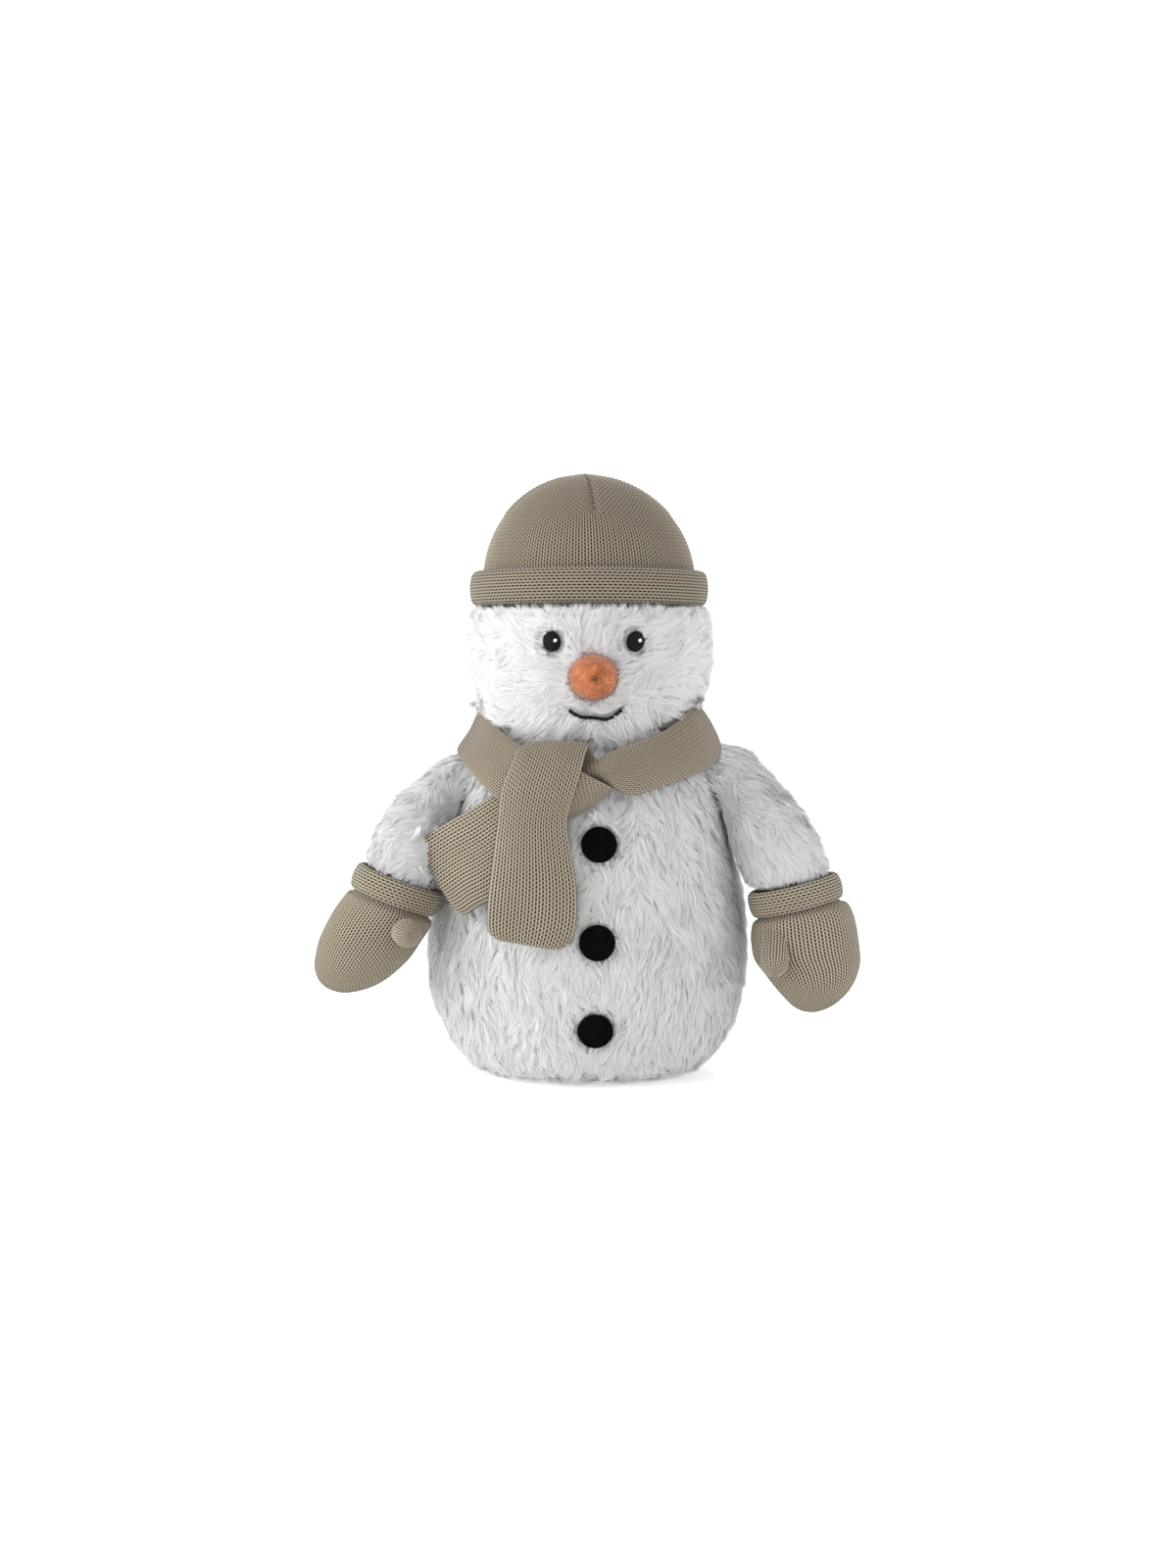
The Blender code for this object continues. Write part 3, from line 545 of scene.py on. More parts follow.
def knitted_object(name, parts):
    """One object from several knitted surfaces, welded where they meet."""
    maps = {
        "Stitches": np.concatenate([part[2]["Stitches"] for part in parts]),
        "OFBake": np.concatenate([
            part[2]["OFBake"] * (0.98 / len(parts), 1) + (i / len(parts), 0) for i, part in enumerate(parts)
        ]),
    }
    obj = mesh_object(name, *joined_arrays([part[:2] for part in parts]), maps)
    work = bmesh.new()
    work.from_mesh(obj.data)
    bmesh.ops.remove_doubles(work, verts=work.verts, dist=0.02 * MM)
    bmesh.ops.dissolve_degenerate(work, edges=work.edges, dist=0.01 * MM)
    work.to_mesh(obj.data)
    work.free()
    obj.data.shade_smooth()
    return obj


def make_crown():
    """The dome: four gores whose columns run parallel and end at the darts between them."""
    low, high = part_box("hat_crown")
    radius = (high.x - low.x) / 2
    depth = (high.y - low.y) / (high.x - low.x)
    centre = Vector(((low.x + high.x) / 2, 0, 0))
    dome_centre = high.z - radius - 0.5 * MM
    wales, courses = GORE_WALES, round(radius * pi / 2 / CROWN_COURSE)
    spacing = radius * cos(DART_START) * (pi / 2) / wales

    def gore(turn):
        def place(u, v):
            rise = np.minimum(v * CROWN_COURSE / radius, pi / 2 - 0.004)
            ring = radius * np.cos(rise)
            width = np.where(rise < DART_START, ring * (pi / 2) / wales, spacing)
            away = (u - wales / 2) * width / ring
            clamped = np.clip(away, -pi / 4, pi / 4)
            # near a dart the cloth dips into the seam
            to_dart = (pi / 4 - np.abs(clamped)) * ring
            above = np.clip((rise - DART_START) / 0.06, 0, 1)
            above = above * np.clip(ring / (14 * MM), 0, 1)  # no dip where the four darts meet
            dip = DART_DEPTH * above * np.exp(-((to_dart / DART_WIDTH) ** 2))
            puff = DART_PUFF * above * np.exp(-(((to_dart - 4 * MM) / (3 * MM)) ** 2))
            grown = radius - dip + puff
            angle = turn + clamped
            peak = CROWN_PEAK * np.clip((rise - PEAK_START) / (pi / 2 - PEAK_START), 0, 1) ** 2
            lean = CROWN_LEAN * np.sin(rise) ** 2
            return np.stack(
                (
                    centre.x - lean + grown * np.cos(rise) * np.sin(angle),
                    -depth * grown * np.cos(rise) * np.cos(angle),
                    dome_centre + grown * np.sin(rise) + peak,
                ),
                -1,
            )

        return place

    across = columns_of(0, wales)
    parts = [knitted(gore(DART_TURN + pi / 4 + i * pi / 2), across, courses) for i in range(CROWN_GORES)]
    crown = knitted_object("knitted_crown", parts)
    return add_piece(crown, SHADED_HAT_KNIT, "taupe_knit", "hat_crown")


def rolled_band(centre, across, deep, up, half_height, thickness, bulge=0.0, arch=0.0):
    """place(u, v) maker for a band round a centre: u runs round its section, v round the ring."""
    straight = 2 * half_height - thickness
    perimeter = 2 * straight + pi * thickness

    def maker(wales, courses):
        def place(u, v):
            s = (u / wales % 1.0) * perimeter
            r = thickness / 2
            arc = pi * r
            # from the outer bottom up the outer face, over the top, down the inside and under
            on_outer = s < straight
            on_top = (s >= straight) & (s < straight + arc)
            on_inner = (s >= straight + arc) & (s < 2 * straight + arc)
            turn = np.where(on_top, (s - straight) / r, (s - 2 * straight - arc) / r)
            sides = [on_outer, on_top, on_inner]
            out = np.select(sides, [r, r * np.cos(turn), -r], -r * np.cos(turn))
            height = np.select(
                sides,
                [s - straight / 2, straight / 2 + r * np.sin(turn), straight / 2 - (s - straight - arc)],
                -straight / 2 - r * np.sin(turn),
            )
            a = v / courses * 2 * pi
            grow = out + bulge * (0.4 - (height / half_height) ** 2)
            height = height + arch * np.cos(2 * a)
            wide = across * (1 + grow[..., None] / np.linalg.norm(across)) * np.sin(a)[..., None]
            far = deep * (1 + grow[..., None] / np.linalg.norm(deep)) * np.cos(a)[..., None]
            return centre + wide + far + up * height[..., None]

        return place

    return maker, perimeter


def make_brim():
    """The turned-up band of the hat, whose columns run round the head."""
    low, high = (np.array(c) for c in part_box("hat_brim"))
    half = (high - low) / 2
    centre = (high + low) / 2
    across = np.array((half[0] - BRIM_THICKNESS / 2 - 0.6 * MM, 0, 0))
    deep = np.array((0, -(half[1] - BRIM_THICKNESS / 2 - 0.3 * MM), 0))
    up = np.array((0, 0, 1.0))
    maker, perimeter = rolled_band(centre, across, deep, up, half[2], BRIM_THICKNESS, BRIM_BULGE, BRIM_ARCH)
    wales, courses = round(perimeter / BRIM_WALE), round(pi * (half[0] + half[1]) / BRIM_COURSE)
    band = knitted(maker(wales, courses), columns_of(0, wales), courses, True, True, BRIM_RELIEF)
    return add_piece(knitted_object("knitted_brim", [band]), SHADED_HAT_KNIT, "taupe_knit", "hat_brim")


# The scarf's strip: both edges and how far it swells outwards between them, in millimetres, from
# the foot of the hanging tail, over and behind the other half, round the neck to the other tail
SCARF_STATIONS = (
    ((-9.3, -80, 70.1), (-47.9, -79, 76.1), 1),
    ((-5.6, -80, 84.6), (-47.9, -80, 89.2), 1),
    ((-5.6, -79.5, 100.8), (-46.4, -80, 103.2), 2),
    ((-7.9, -79, 116.1), (-44.6, -80, 117.2), 3),
    ((-9.8, -78, 131.9), (-42.7, -79.5, 132.0), 4),
    ((-6.5, -76.5, 145.7), (-40.9, -78.5, 145.9), 4),
    ((-2.8, -73, 156.3), (-37.7, -75.5, 156.5), 3),
    ((-0.9, -67, 164.0), (-34.1, -69.5, 164.2), 1.5),
    ((0.6, -59, 167.0), (-30.1, -60, 167.0), 0.5),
    ((2.4, -53.5, 163.0), (-27.4, -53.5, 163.0), 0),
    ((5.6, -53.5, 156.5), (-23.6, -54, 153.5), 0),
    ((9.6, -56.5, 150.6), (-16.0, -57, 142.0), 0),
    ((11.9, -63.5, 147.6), (-8.7, -64.5, 133.4), 0),
    ((8.0, -70.5, 149.7), (-12.6, -71.5, 135.2), 0),
    ((0.0, -72, 153.5), (-21.5, -73.0, 132.8), 1),
    ((-10.3, -70, 159.0), (-32.7, -71.5, 134.8), 1),
    ((-22.1, -64, 163.4), (-43.1, -66.5, 141.9), 1.5),
    ((-34.0, -53, 168.0), (-51.6, -56, 148.6), 1.5),
    ((-44.4, -36, 175.2), (-60.4, -38, 157.8), 0),
    ((-53.0, 0, 185.0), (-64.6, 0, 162.4), -1.5),
    ((-40.0, 33, 188.0), (-49.0, 43, 160.0), 1.5),
    ((0, 46, 189.0), (0, 61, 157.0), 3),
    ((37.0, 33, 190.0), (48.6, 43, 159.0), 3),
    ((51.2, 0, 188.0), (65.6, 0, 160.5), 2),
    ((48.0, -27, 181.5), (59.6, -30, 155.4), 3),
    ((37.1, -44, 173.6), (46.0, -47, 150.6), 3),
    ((24.1, -54, 168.6), (29.6, -60, 145.4), 3),
    ((14.1, -60, 165.4), (19.4, -66, 144.2), 3),
    ((7.5, -63.5, 162.4), (12.2, -67, 147.6), 3.5),
    ((0.6, -63.5, 158.8), (1.9, -65, 150.8), 2.5),
    ((-7.5, -63, 156.2), (-6.4, -63.5, 144.5), 1),
    ((-18.8, -63, 153.6), (-13.4, -64.5, 134.0), 1),
    ((-32.4, -63.5, 150.2), (-21.2, -68.5, 118.1), 1),
    ((-44.7, -61.5, 144.0), (-31.9, -70.5, 104.6), 1),
    ((-57.8, -55.5, 135.5), (-43.7, -67.5, 95.3), 1),
    ((-71.5, -47.5, 127.4), (-52.9, -62.5, 89.7), 1),
    ((-85.0, -40, 118.1), (-61.8, -56, 83.6), 0),
)
SCARF_THICKNESS = 3.6 * MM
SCARF_WALES = 13
SCARF_FOLD, FOLD_SIZE = 1.5 * MM, 34 * MM  # height and size of the soft folds in the strip
EDGE_WAVE, EDGE_WAVE_SIZE = 0.035, 16 * MM  # how unevenly wide it is, as a share of its width


def make_scarf():
    """The strip: a flat knitted tube, wound round the neck and tied in a half knot."""
    rows = catmull_rom([(*a, *b, swell) for a, b, swell in SCARF_STATIONS], 2.0)
    uppers, lowers, swells = rows[:, 0:3] * MM, rows[:, 3:6] * MM, rows[:, 6] * MM
    middles = (uppers + lowers) / 2
    runs = unit(np.gradient(middles, axis=0))
    halves = (uppers - lowers) / 2
    outs = unit(np.cross(halves, runs))
    for _ in range(6):  # even out the turning of the strip
        outs[1:-1] = unit(outs[:-2] + 2 * outs[1:-1] + outs[2:])
    travelled = distances_along(middles)
    length = travelled[-1]
    courses = round(length / COURSE)

    def at(table, v):
        s = np.clip(v / courses, 0, 1) * length
        return np.stack([np.interp(s, travelled, table[:, i]) for i in range(table.shape[1])], -1)

    # soft folds: waves that run slanting along the strip and fade out at its ends
    s_knots, spot_knots = np.linspace(0, length, 160), np.linspace(-1, 1, 9)
    waves = np.array([
        [noise.noise(Vector((s / FOLD_SIZE + 0.5 * spot, 1.1 * spot, 4.2))) for spot in spot_knots]
        for s in s_knots
    ])
    edge_waves = np.array([noise.noise(Vector((s / EDGE_WAVE_SIZE, 7.0, 0))) for s in s_knots])

    def fold(s, spot):
        """The waves' height at a distance along the strip and a spot from -1 to 1 across it."""
        row = np.interp(s, s_knots, np.arange(len(s_knots)))
        column = (spot + 1) / 2 * (len(spot_knots) - 1)
        r = np.minimum(row.astype(int), len(s_knots) - 2)
        c = np.minimum(column.astype(int), len(spot_knots) - 2)
        dr, dc = row - r, column - c
        low = waves[r, c] * (1 - dc) + waves[r, c + 1] * dc
        high = waves[r + 1, c] * (1 - dc) + waves[r + 1, c + 1] * dc
        return low * (1 - dr) + high * dr

    def place(u, v):
        side = np.where(u % (2 * SCARF_WALES) < SCARF_WALES, 1, -1)
        spot = 1 - 2 * np.abs((u / SCARF_WALES + 1) % 2.0 - 1)
        soft = (1 - np.abs(spot) ** 4) ** 0.5
        to_end = np.clip(np.minimum(v, courses - v), 0, 4)
        rounded = 1.2 * np.clip((np.abs(spot) - 0.7) / 0.3, 0, 1) ** 2 * (1 - to_end / 4)
        v = v + np.where(v < courses / 2, rounded, -rounded)
        end = 0.4 + 0.6 * np.clip(to_end / 1.5, 0, 1) ** 0.5
        corner = 1 - 0.07 * (1 - to_end / 4) ** 2
        s = np.clip(v / courses, 0, 1) * length
        # the parts in front of the neck fold more than the turn round it
        free = np.clip((at(middles, v)[..., 1] + 60 * MM) / (-14 * MM), 0, 1)
        folds = SCARF_FOLD * fold(s, spot) * (0.35 + 0.65 * free)
        swell = at(swells[:, None], v)[..., 0] * (1 - spot**2) + folds
        depth = swell + side * (SCARF_THICKNESS / 2) * soft * end
        wide = spot * corner * (1 + EDGE_WAVE * np.interp(s, s_knots, edge_waves))
        return at(middles, v) + at(halves, v) * wide[..., None] + at(outs, v) * depth[..., None]

    plain_side = columns_of(SCARF_WALES, 2 * SCARF_WALES, 2)  # the hidden side has a coarser grid
    across = np.concatenate((columns_of(0, SCARF_WALES), plain_side[1:]))
    scarf = knitted_object("knitted_scarf", [knitted(place, across, courses, True)])
    add_piece(scarf, KNIT, "taupe_knit", "scarf")
    return scarf


CUFF_THICKNESS, CUFF_BULGE = 3.2 * MM, 1.2 * MM


def make_cuff(side):
    """The turned-up band round a wrist."""
    centre, axis, points = flat_frame("mitten_cuff_" + side, (0, 0, 1))
    across = unit(np.cross(np.array((0, 1.0, 0)), axis))
    deep = unit(np.cross(axis, across))
    half_width, half_depth, half_height = (
        np.abs((points - centre) @ way).max() for way in (across, deep, axis)
    )
    maker, perimeter = rolled_band(
        centre,
        across * (half_width - CUFF_THICKNESS / 2),
        -deep * (half_depth - CUFF_THICKNESS / 2),
        axis,
        half_height,
        CUFF_THICKNESS,
        CUFF_BULGE,
    )
    wales, courses = round(perimeter / HAND_WALE), round(pi * (half_width + half_depth) / BRIM_COURSE)
    band = knitted(maker(wales, courses), columns_of(0, wales), courses, True, True)
    cuff = knitted_object("knitted_cuff_" + side, [band])
    return add_piece(cuff, KNIT, "taupe_knit", "mitten_cuff_" + side)


# --- mittens -----------------------------------------------------------------------------------

# Each hand: rings of (distance from the wrist, shift towards the body, half width) in millimetres,
# the wrist's place, the lean of the cuff and of the hand, and the thumb's root, tip and radius
HANDS = {
    "left": {
        "rings": (
            (2.9, 0, 18.2), (12.7, 0, 18.4), (15.2, 0, 21.6), (19, -0.6, 22.4),
            (26, -2.3, 22.6), (35, -4, 22.2), (43, -6, 20.6), (50, -7.6, 18),
            (55.5, -9.4, 14.8), (60, -10.8, 10.2), (62.6, -11.6, 5.6), (63.7, -11.8, 0.4),
        ),
        "wrist": (-91.6, -37, 101.6), "cuff lean": radians(201), "lean": radians(201), "inwards": 1,
        "thumb": ((-91, -44, 77), (-87.0, -61, 76.5), 6.6),
    },
    "right": {
        "rings": (
            (2.9, 0, 18.8), (12.7, 0, 19.2), (15.2, -0.4, 23.4), (19, -0.8, 25.2),
            (26, -0.8, 26.2), (35, -1, 26), (43, -2.8, 23.6), (50, -3.4, 20.2),
            (56, -3.2, 16), (60.6, -2.2, 11.2), (63.4, -1.4, 6), (64.6, -1.2, 0.4),
        ),
        "wrist": (100.6, -32, 98.6), "cuff lean": radians(166), "lean": radians(172), "inwards": -1,
        "thumb": ((92.5, -39, 78), (90.4, -54, 61.5), 6.8),
    },
}
SLEEVE = 12.7  # length of the wrist, in millimetres as the rings are
HAND_LENGTH = 64.0
FINGERS_FORWARD = 5.0  # how far in front of the wrist the finger tips are
WRIST_DEPTH_RATIO, HAND_DEPTH_RATIO = 0.90, 0.74
HAND_RADIUS = 21 * MM  # the radius that its wales are counted on


def hand_sections(hand):
    """Centre, across vector and depth of the hand's section, by distance from the wrist, in metres."""
    rings = catmull_rom(hand["rings"], 2.0)
    axis = np.array((sin(hand["lean"]), 0, cos(hand["lean"])))
    cuff_axis = np.array((sin(hand["cuff lean"]), 0, cos(hand["cuff lean"])))
    rows = []
    for along, shift, width in rings:
        blend = min(1.0, max(0.0, (along - SLEEVE) / 12))
        run = unit(cuff_axis * (1 - blend) + axis * blend)
        wide = np.array((-run[2], 0, run[0]))
        wide *= hand["inwards"] * np.sign(wide[0])
        beyond = max(along - SLEEVE, 0)
        place = np.array(hand["wrist"]) + cuff_axis * min(along, SLEEVE) + axis * beyond + wide * shift
        place[1] -= FINGERS_FORWARD * beyond / HAND_LENGTH
        ratio = WRIST_DEPTH_RATIO + (HAND_DEPTH_RATIO - WRIST_DEPTH_RATIO) * blend
        rows.append((*place, *(wide * max(width, 0.3)), max(width, 0.3) * ratio))
    return np.array(rows) * MM


def make_mitten(side):
    """A stuffed knitted hand and its thumb."""
    hand = HANDS[side]
    rows = hand_sections(hand)
    travelled = np.concatenate(
        ([0], np.cumsum(np.hypot(np.linalg.norm(np.diff(rows[:, :3], axis=0), axis=1), np.diff(rows[:, 6]))))
    )
    wales = round(2 * pi * HAND_RADIUS / HAND_WALE)
    courses = round(travelled[-1] / HAND_COURSE)

    def place(u, v):
        s = np.clip(v / courses, 0, 1) * travelled[-1]
        row = np.stack([np.interp(s, travelled, rows[:, i]) for i in range(7)], -1)
        a = u / wales * 2 * pi * hand["inwards"]
        deep = np.stack((np.zeros_like(a), -row[..., 6] * np.cos(a), np.zeros_like(a)), -1)
        return row[..., :3] + row[..., 3:6] * np.sin(a)[..., None] + deep

    parts = [knitted(place, columns_of(0, wales), courses, True, relief=HAND_RELIEF)]
    root, tip, radius = (np.array(value, float) * MM for value in hand["thumb"])
    run = unit(tip - root)
    wide = unit(np.cross(run, np.array((1.0, 0.2, 0.1))))
    deep = np.cross(run, wide)
    straight = np.linalg.norm(tip - root)
    thumb_wales = round(2 * pi * float(radius) / HAND_WALE)
    thumb_courses = round((straight + radius * pi / 2) / HAND_COURSE)

    def thumb(u, v):
        s = np.clip(v / thumb_courses, 0, 1) * (straight + radius * pi / 2)
        over = np.clip((s - straight) / radius, 0, pi / 2 - 0.02)
        grown = radius * np.cos(over)
        forward = np.minimum(s, straight) + radius * np.sin(over)
        a = u / thumb_wales * 2 * pi
        ring = wide * np.cos(a)[..., None] + deep * np.sin(a)[..., None]
        return root + run * forward[..., None] + ring * grown[..., None]

    parts.append(knitted(thumb, columns_of(0, thumb_wales), thumb_courses, True, relief=THUMB_RELIEF))
    mitten = add_piece(knitted_object("knitted_mitten_" + side, parts), KNIT, "taupe_knit", "mitten_" + side)
    return mitten


# --- pile --------------------------------------------------------------------------------------


def scattered(node, count, rng):
    """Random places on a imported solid, even over its surface, with smooth normals."""
    points, triangles = node_arrays(node)
    corners = points[triangles]
    face_normals = np.cross(corners[:, 1] - corners[:, 0], corners[:, 2] - corners[:, 0])
    areas = np.linalg.norm(face_normals, axis=1)
    normals = np.zeros_like(points)
    for i in range(3):
        np.add.at(normals, triangles[:, i], face_normals)
    normals = unit(normals)
    chosen = rng.choice(len(triangles), count, p=areas / areas.sum())
    a, b = rng.random(count), rng.random(count)
    over = a + b > 1
    a[over], b[over] = 1 - a[over], 1 - b[over]
    weights = np.stack((1 - a - b, a, b), -1)[..., None]
    places = (corners[chosen] * weights).sum(1)
    ways = unit((normals[triangles[chosen]] * weights).sum(1))
    return places, ways


def tangent(vectors, normals):
    return unit(vectors - normals * (vectors * normals).sum(-1, keepdims=True))


def turned(vectors, normals, angles):
    """Vectors turned about the normals."""
    c, s = np.cos(angles)[:, None], np.sin(angles)[:, None]
    return vectors * c + np.cross(normals, vectors) * s


def nearest(centres, places):
    tree = kdtree.KDTree(len(centres))
    for i, centre in enumerate(centres):
        tree.insert(centre, i)
    tree.balance()
    return np.array([tree.find(place)[1] for place in places])


def cover_height(tree, places, ways, reach):
    """How far out from each place, along its way, a cover's outer side lies; -1 where there is none."""
    found = np.full(len(places), -1.0)
    for i, (place, way) in enumerate(zip(places, ways)):
        _, _, _, distance = tree.ray_cast(Vector(place + way * reach), Vector(-way), reach)
        if distance is not None:
            found[i] = reach - distance
    return found


def gaps_to(tree, places):
    return np.array([tree.find_nearest(Vector(place))[3] for place in places])


def hanging(normals):
    """The way out of the pile: along the normals, but more level where the cloth faces down."""
    level = normals * (1, 1, 0.3)
    return np.where(normals[:, 2:] < 0, unit(level), normals)


def grow_pile(name, node, count, flow_of, over, under, style, allowed, guard=None, seed=0):
    """Tapered hairs combed into locks over a solid whose surface is where their tips reach.

    over is a cover that the tips spill over and under is one that holds them down; no hair is
    rooted below either. flow_of gives the way they are combed. style gives each place its hair
    length in metres, how deep below its tip the hair starts and how much higher its tip stands.
    allowed says where hairs may start, and guard moves their tips off what has to stay bare.
    """
    rng = np.random.default_rng(SEED + seed)
    places, normals = scattered(node, int(count * 1.9), rng)  # more than asked for: some are left out
    keep = (places[:, 2] > FLOOR_GAP) & allowed(places)
    places, normals = places[keep], normals[keep]
    for tree, reach in ((over, COVERED_OVER), (under, COVERED_UNDER)):
        if tree is not None:
            clear = cover_height(tree, places - normals * 2 * MM, hanging(normals), reach) < 0
            places, normals = places[clear], normals[clear]
    places, normals = places[:count], normals[:count]
    total = len(places)
    length, depth, rise = style(places)

    # each hair follows the lead hair of its lock
    leads = rng.choice(total, max(1, total // LOCK_HAIRS), replace=False)
    lock = nearest(places[leads], places)
    lead = leads[lock]
    wide_swirl = smooth_noise(places[leads], SWIRL_SIZE, seed + 1)
    small_swirl = smooth_noise(places[leads], SMALL_SWIRL_SIZE, seed + 2)
    lock_turn = SWIRL * wide_swirl + SMALL_SWIRL * small_swirl + rng.normal(0, 0.16, len(leads))
    angle = lock_turn[lock] + rng.normal(0, 0.14, total)
    flow = tangent(flow_of(places), normals)
    flow = tangent(turned(tangent(flow[lead], normals), normals, angle), normals)
    length = length * (1 + 0.12 * rng.standard_normal(len(leads)).clip(-1.5, 1.5))[lock]
    length = length * rng.uniform(0.8, 1.15, total)

    # how high the tips stand: tufts and hollows, locks, single hairs and a few strays
    dip = smooth_noise(places[leads], DIP_SIZE, seed + 3)[lock]
    lift = rng.normal(0, LOCK_LIFT, len(leads)).clip(-1.5 * LOCK_LIFT, 1.5 * LOCK_LIFT)[lock]
    top = TIP_HEIGHT + rise + LOCK_DIP * dip + lift - np.abs(rng.normal(0, TIP_UNEVEN, total))
    stray = rng.random(total) < 0.05
    top[stray] += 1.5 * MM * rng.random(stray.sum())
    start = top - depth * rng.uniform(0.6, 1.15, total) * (1 - 0.25 * dip)
    out = hanging(normals)
    root = places + normals * start[:, None] - flow * (0.5 * length)[:, None]
    tip = places + out * top[:, None] + flow * (0.5 * length)[:, None]

    # the tips of a lock gather and its roots spread
    gather = rng.uniform(0.2, 0.65, total)[:, None]
    across = places - places[lead]
    tip = tip - across * gather
    root = root + across * gather * 0.3
    tip += rng.normal(0, 0.3 * MM, (total, 3))

    if over is not None:  # tips just under the cover come out over it, deeper ones are drawn back
        hidden = cover_height(over, tip, out, COVER_NEAR)
        deep = hidden > 1.6 * MM
        tip[deep] = root[deep] * 0.6 + tip[deep] * 0.4
        caught = (hidden >= 0) & ~deep
        tip[caught] += out[caught] * (hidden[caught] + 0.5 * MM)[:, None]
    if under is not None:  # tips below the cover are pressed down, others that touch it are left out
        gap = gaps_to(under, tip)
        caught = cover_height(under, tip, out, COVER_NEAR) >= 0
        tip[caught] = root[caught] * 0.3 + tip[caught] * 0.7 - normals[caught] * 1.5 * MM
        kept = caught | (gap > 1.5 * MM)
        root, tip, out = root[kept], tip[kept], out[kept]
    if guard is not None:
        tip = guard(tip)
    for points in (root, tip):
        low = points[:, 2] < 0.4 * MM
        points[low, 2] = 0.4 * MM + 0.8 * MM * rng.random(low.sum())
    return hair_object(name, root, tip, out, rng)


def hair_object(name, root, tip, normals, rng):
    """A tapered blade from each root to its tip, its flat side outwards."""
    total = len(root)
    run = unit(tip - root)
    side = turned(unit(np.cross(run, normals)), run, rng.normal(0, 0.5, total))
    half = (HAIR_WIDTH / 2 * rng.uniform(0.7, 1.3, total))[:, None]
    points = np.stack((root - side * half, root + side * half, tip), 1).reshape(-1, 3)
    faces = np.arange(3 * total).reshape(-1, 3)
    u = rng.random(total)[:, None] * 0.98 + np.array((0, 0.006, 0.003))
    v = np.broadcast_to(np.array((0.02, 0.02, 0.98)), u.shape)
    hairs = mesh_object(name, points, faces, {"OFBake": np.stack((u, v), -1)})
    # light falls on the pile as on one soft surface, a little uneven from hair to hair
    facing = unit(normals + rng.normal(0, HAIR_UNEVEN, normals.shape))
    hairs.data.normals_split_custom_set_from_vertices(np.repeat(facing, 3, axis=0).astype(np.float32))
    return hairs


def make_skin(name, node, inset):
    """The backing under the pile: the solid's own form, drawn in to where the strands are rooted."""
    obj = bpy.data.objects.new(name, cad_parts[node].data.copy())
    bpy.context.scene.collection.objects.link(obj)
    even = obj.modifiers.new("Even faces", "REMESH")
    even.mode = "VOXEL"
    even.voxel_size = 4.5 * MM
    draw = obj.modifiers.new("Draw in", "DISPLACE")
    draw.mid_level, draw.strength = 0, -inset
    smooth = obj.modifiers.new("Smooth", "SMOOTH")
    smooth.iterations, smooth.factor = 6, 0.5
    bpy.context.view_layer.update()
    graph = bpy.context.evaluated_depsgraph_get()
    mesh = bpy.data.meshes.new_from_object(obj.evaluated_get(graph))
    obj.modifiers.clear()
    obj.data = mesh
    mesh.shade_smooth()
    while mesh.uv_layers:
        mesh.uv_layers.remove(mesh.uv_layers[0])
    return obj


def add_plush(node, piles):
    """A plush piece: its backing and the pile on it."""
    skin = add_piece(make_skin(node + "_backing", node, SKIN_DEPTH), SKIN, "white_plush", node)
    for pile in piles:
        add_piece(pile, PILE, "white_plush", node)


def away_from(centre, places):
    return unit(places - centre)


def gap_from(centre, places, squash=(1, 1, 1)):
    return np.linalg.norm((places - centre) * squash, axis=1)


def near_share(places, centre, inner, outer, squash=(1, 1, 1)):
    """1 inside a distance from a centre, falling to 0 at an outer distance."""
    return np.clip((outer - gap_from(centre, places, squash)) / (outer - inner), 0, 1)


def falling(values, reach):
    """1 where a value is zero or less, falling to 0 where it is the reach."""
    return np.clip(1 - values / reach, 0, 1)


def pushed_off(points, centre, half_width, half_height):
    """Points in front of an upright oval moved out to its edge."""
    away = points - centre
    share = np.hypot(away[:, 0] / half_width, away[:, 2] / half_height)
    inside = (share < 1) & (points[:, 1] < centre[1] + 12 * MM)
    grow = 1 / np.maximum(share[inside], 0.2)
    points = points.copy()
    points[inside, 0] = centre[0] + away[inside, 0] * grow
    points[inside, 2] = centre[2] + away[inside, 2] * grow
    return points


def make_body():
    under = tree_of("scarf")
    buttons = [box_centre("button_" + n) for n in ("top", "middle", "bottom")]
    radius = half_size("button_top")[0]

    def flow(places):
        down = np.tile((0.0, 0.0, -1.0), (len(places), 1))
        for centre in buttons:
            near = near_share(places, centre, radius, radius * 1.4)[:, None]
            down = down * (1 - near) + away_from(centre, places) * near
        low = falling(places[:, 2], SPLAY_HEIGHT)[:, None]
        return down + away_from(np.zeros(3), places * (1, 1, 0)) * low * 1.4

    def style(places):
        length = np.full(len(places), HAIR_LENGTH)
        for centre in buttons:
            length = length * (1 - 0.5 * near_share(places, centre, radius, radius * 1.6))
        low = falling(places[:, 2], SPLAY_HEIGHT)
        return length * (1 + 0.25 * low), np.full(len(places), HAIR_DEPTH), np.zeros(len(places))

    def front(places):
        keep = places[:, 1] < FRONT_END
        for centre in buttons:
            keep &= gap_from(centre, places) >= radius
        return keep

    def back(places):
        return places[:, 1] >= FRONT_END

    def guard(points):
        for centre in buttons:
            points = pushed_off(points, centre, radius * 0.98, radius * 0.98)
        return points

    front_args = HAIRS["body front"], flow, None, under, style, front, guard
    back_args = HAIRS["body back"], flow, None, under, style, back
    add_plush("body", [
        grow_pile("body_pile_front", "body", *front_args, seed=1),
        grow_pile("body_pile_back", "body", *back_args, seed=2),
    ])


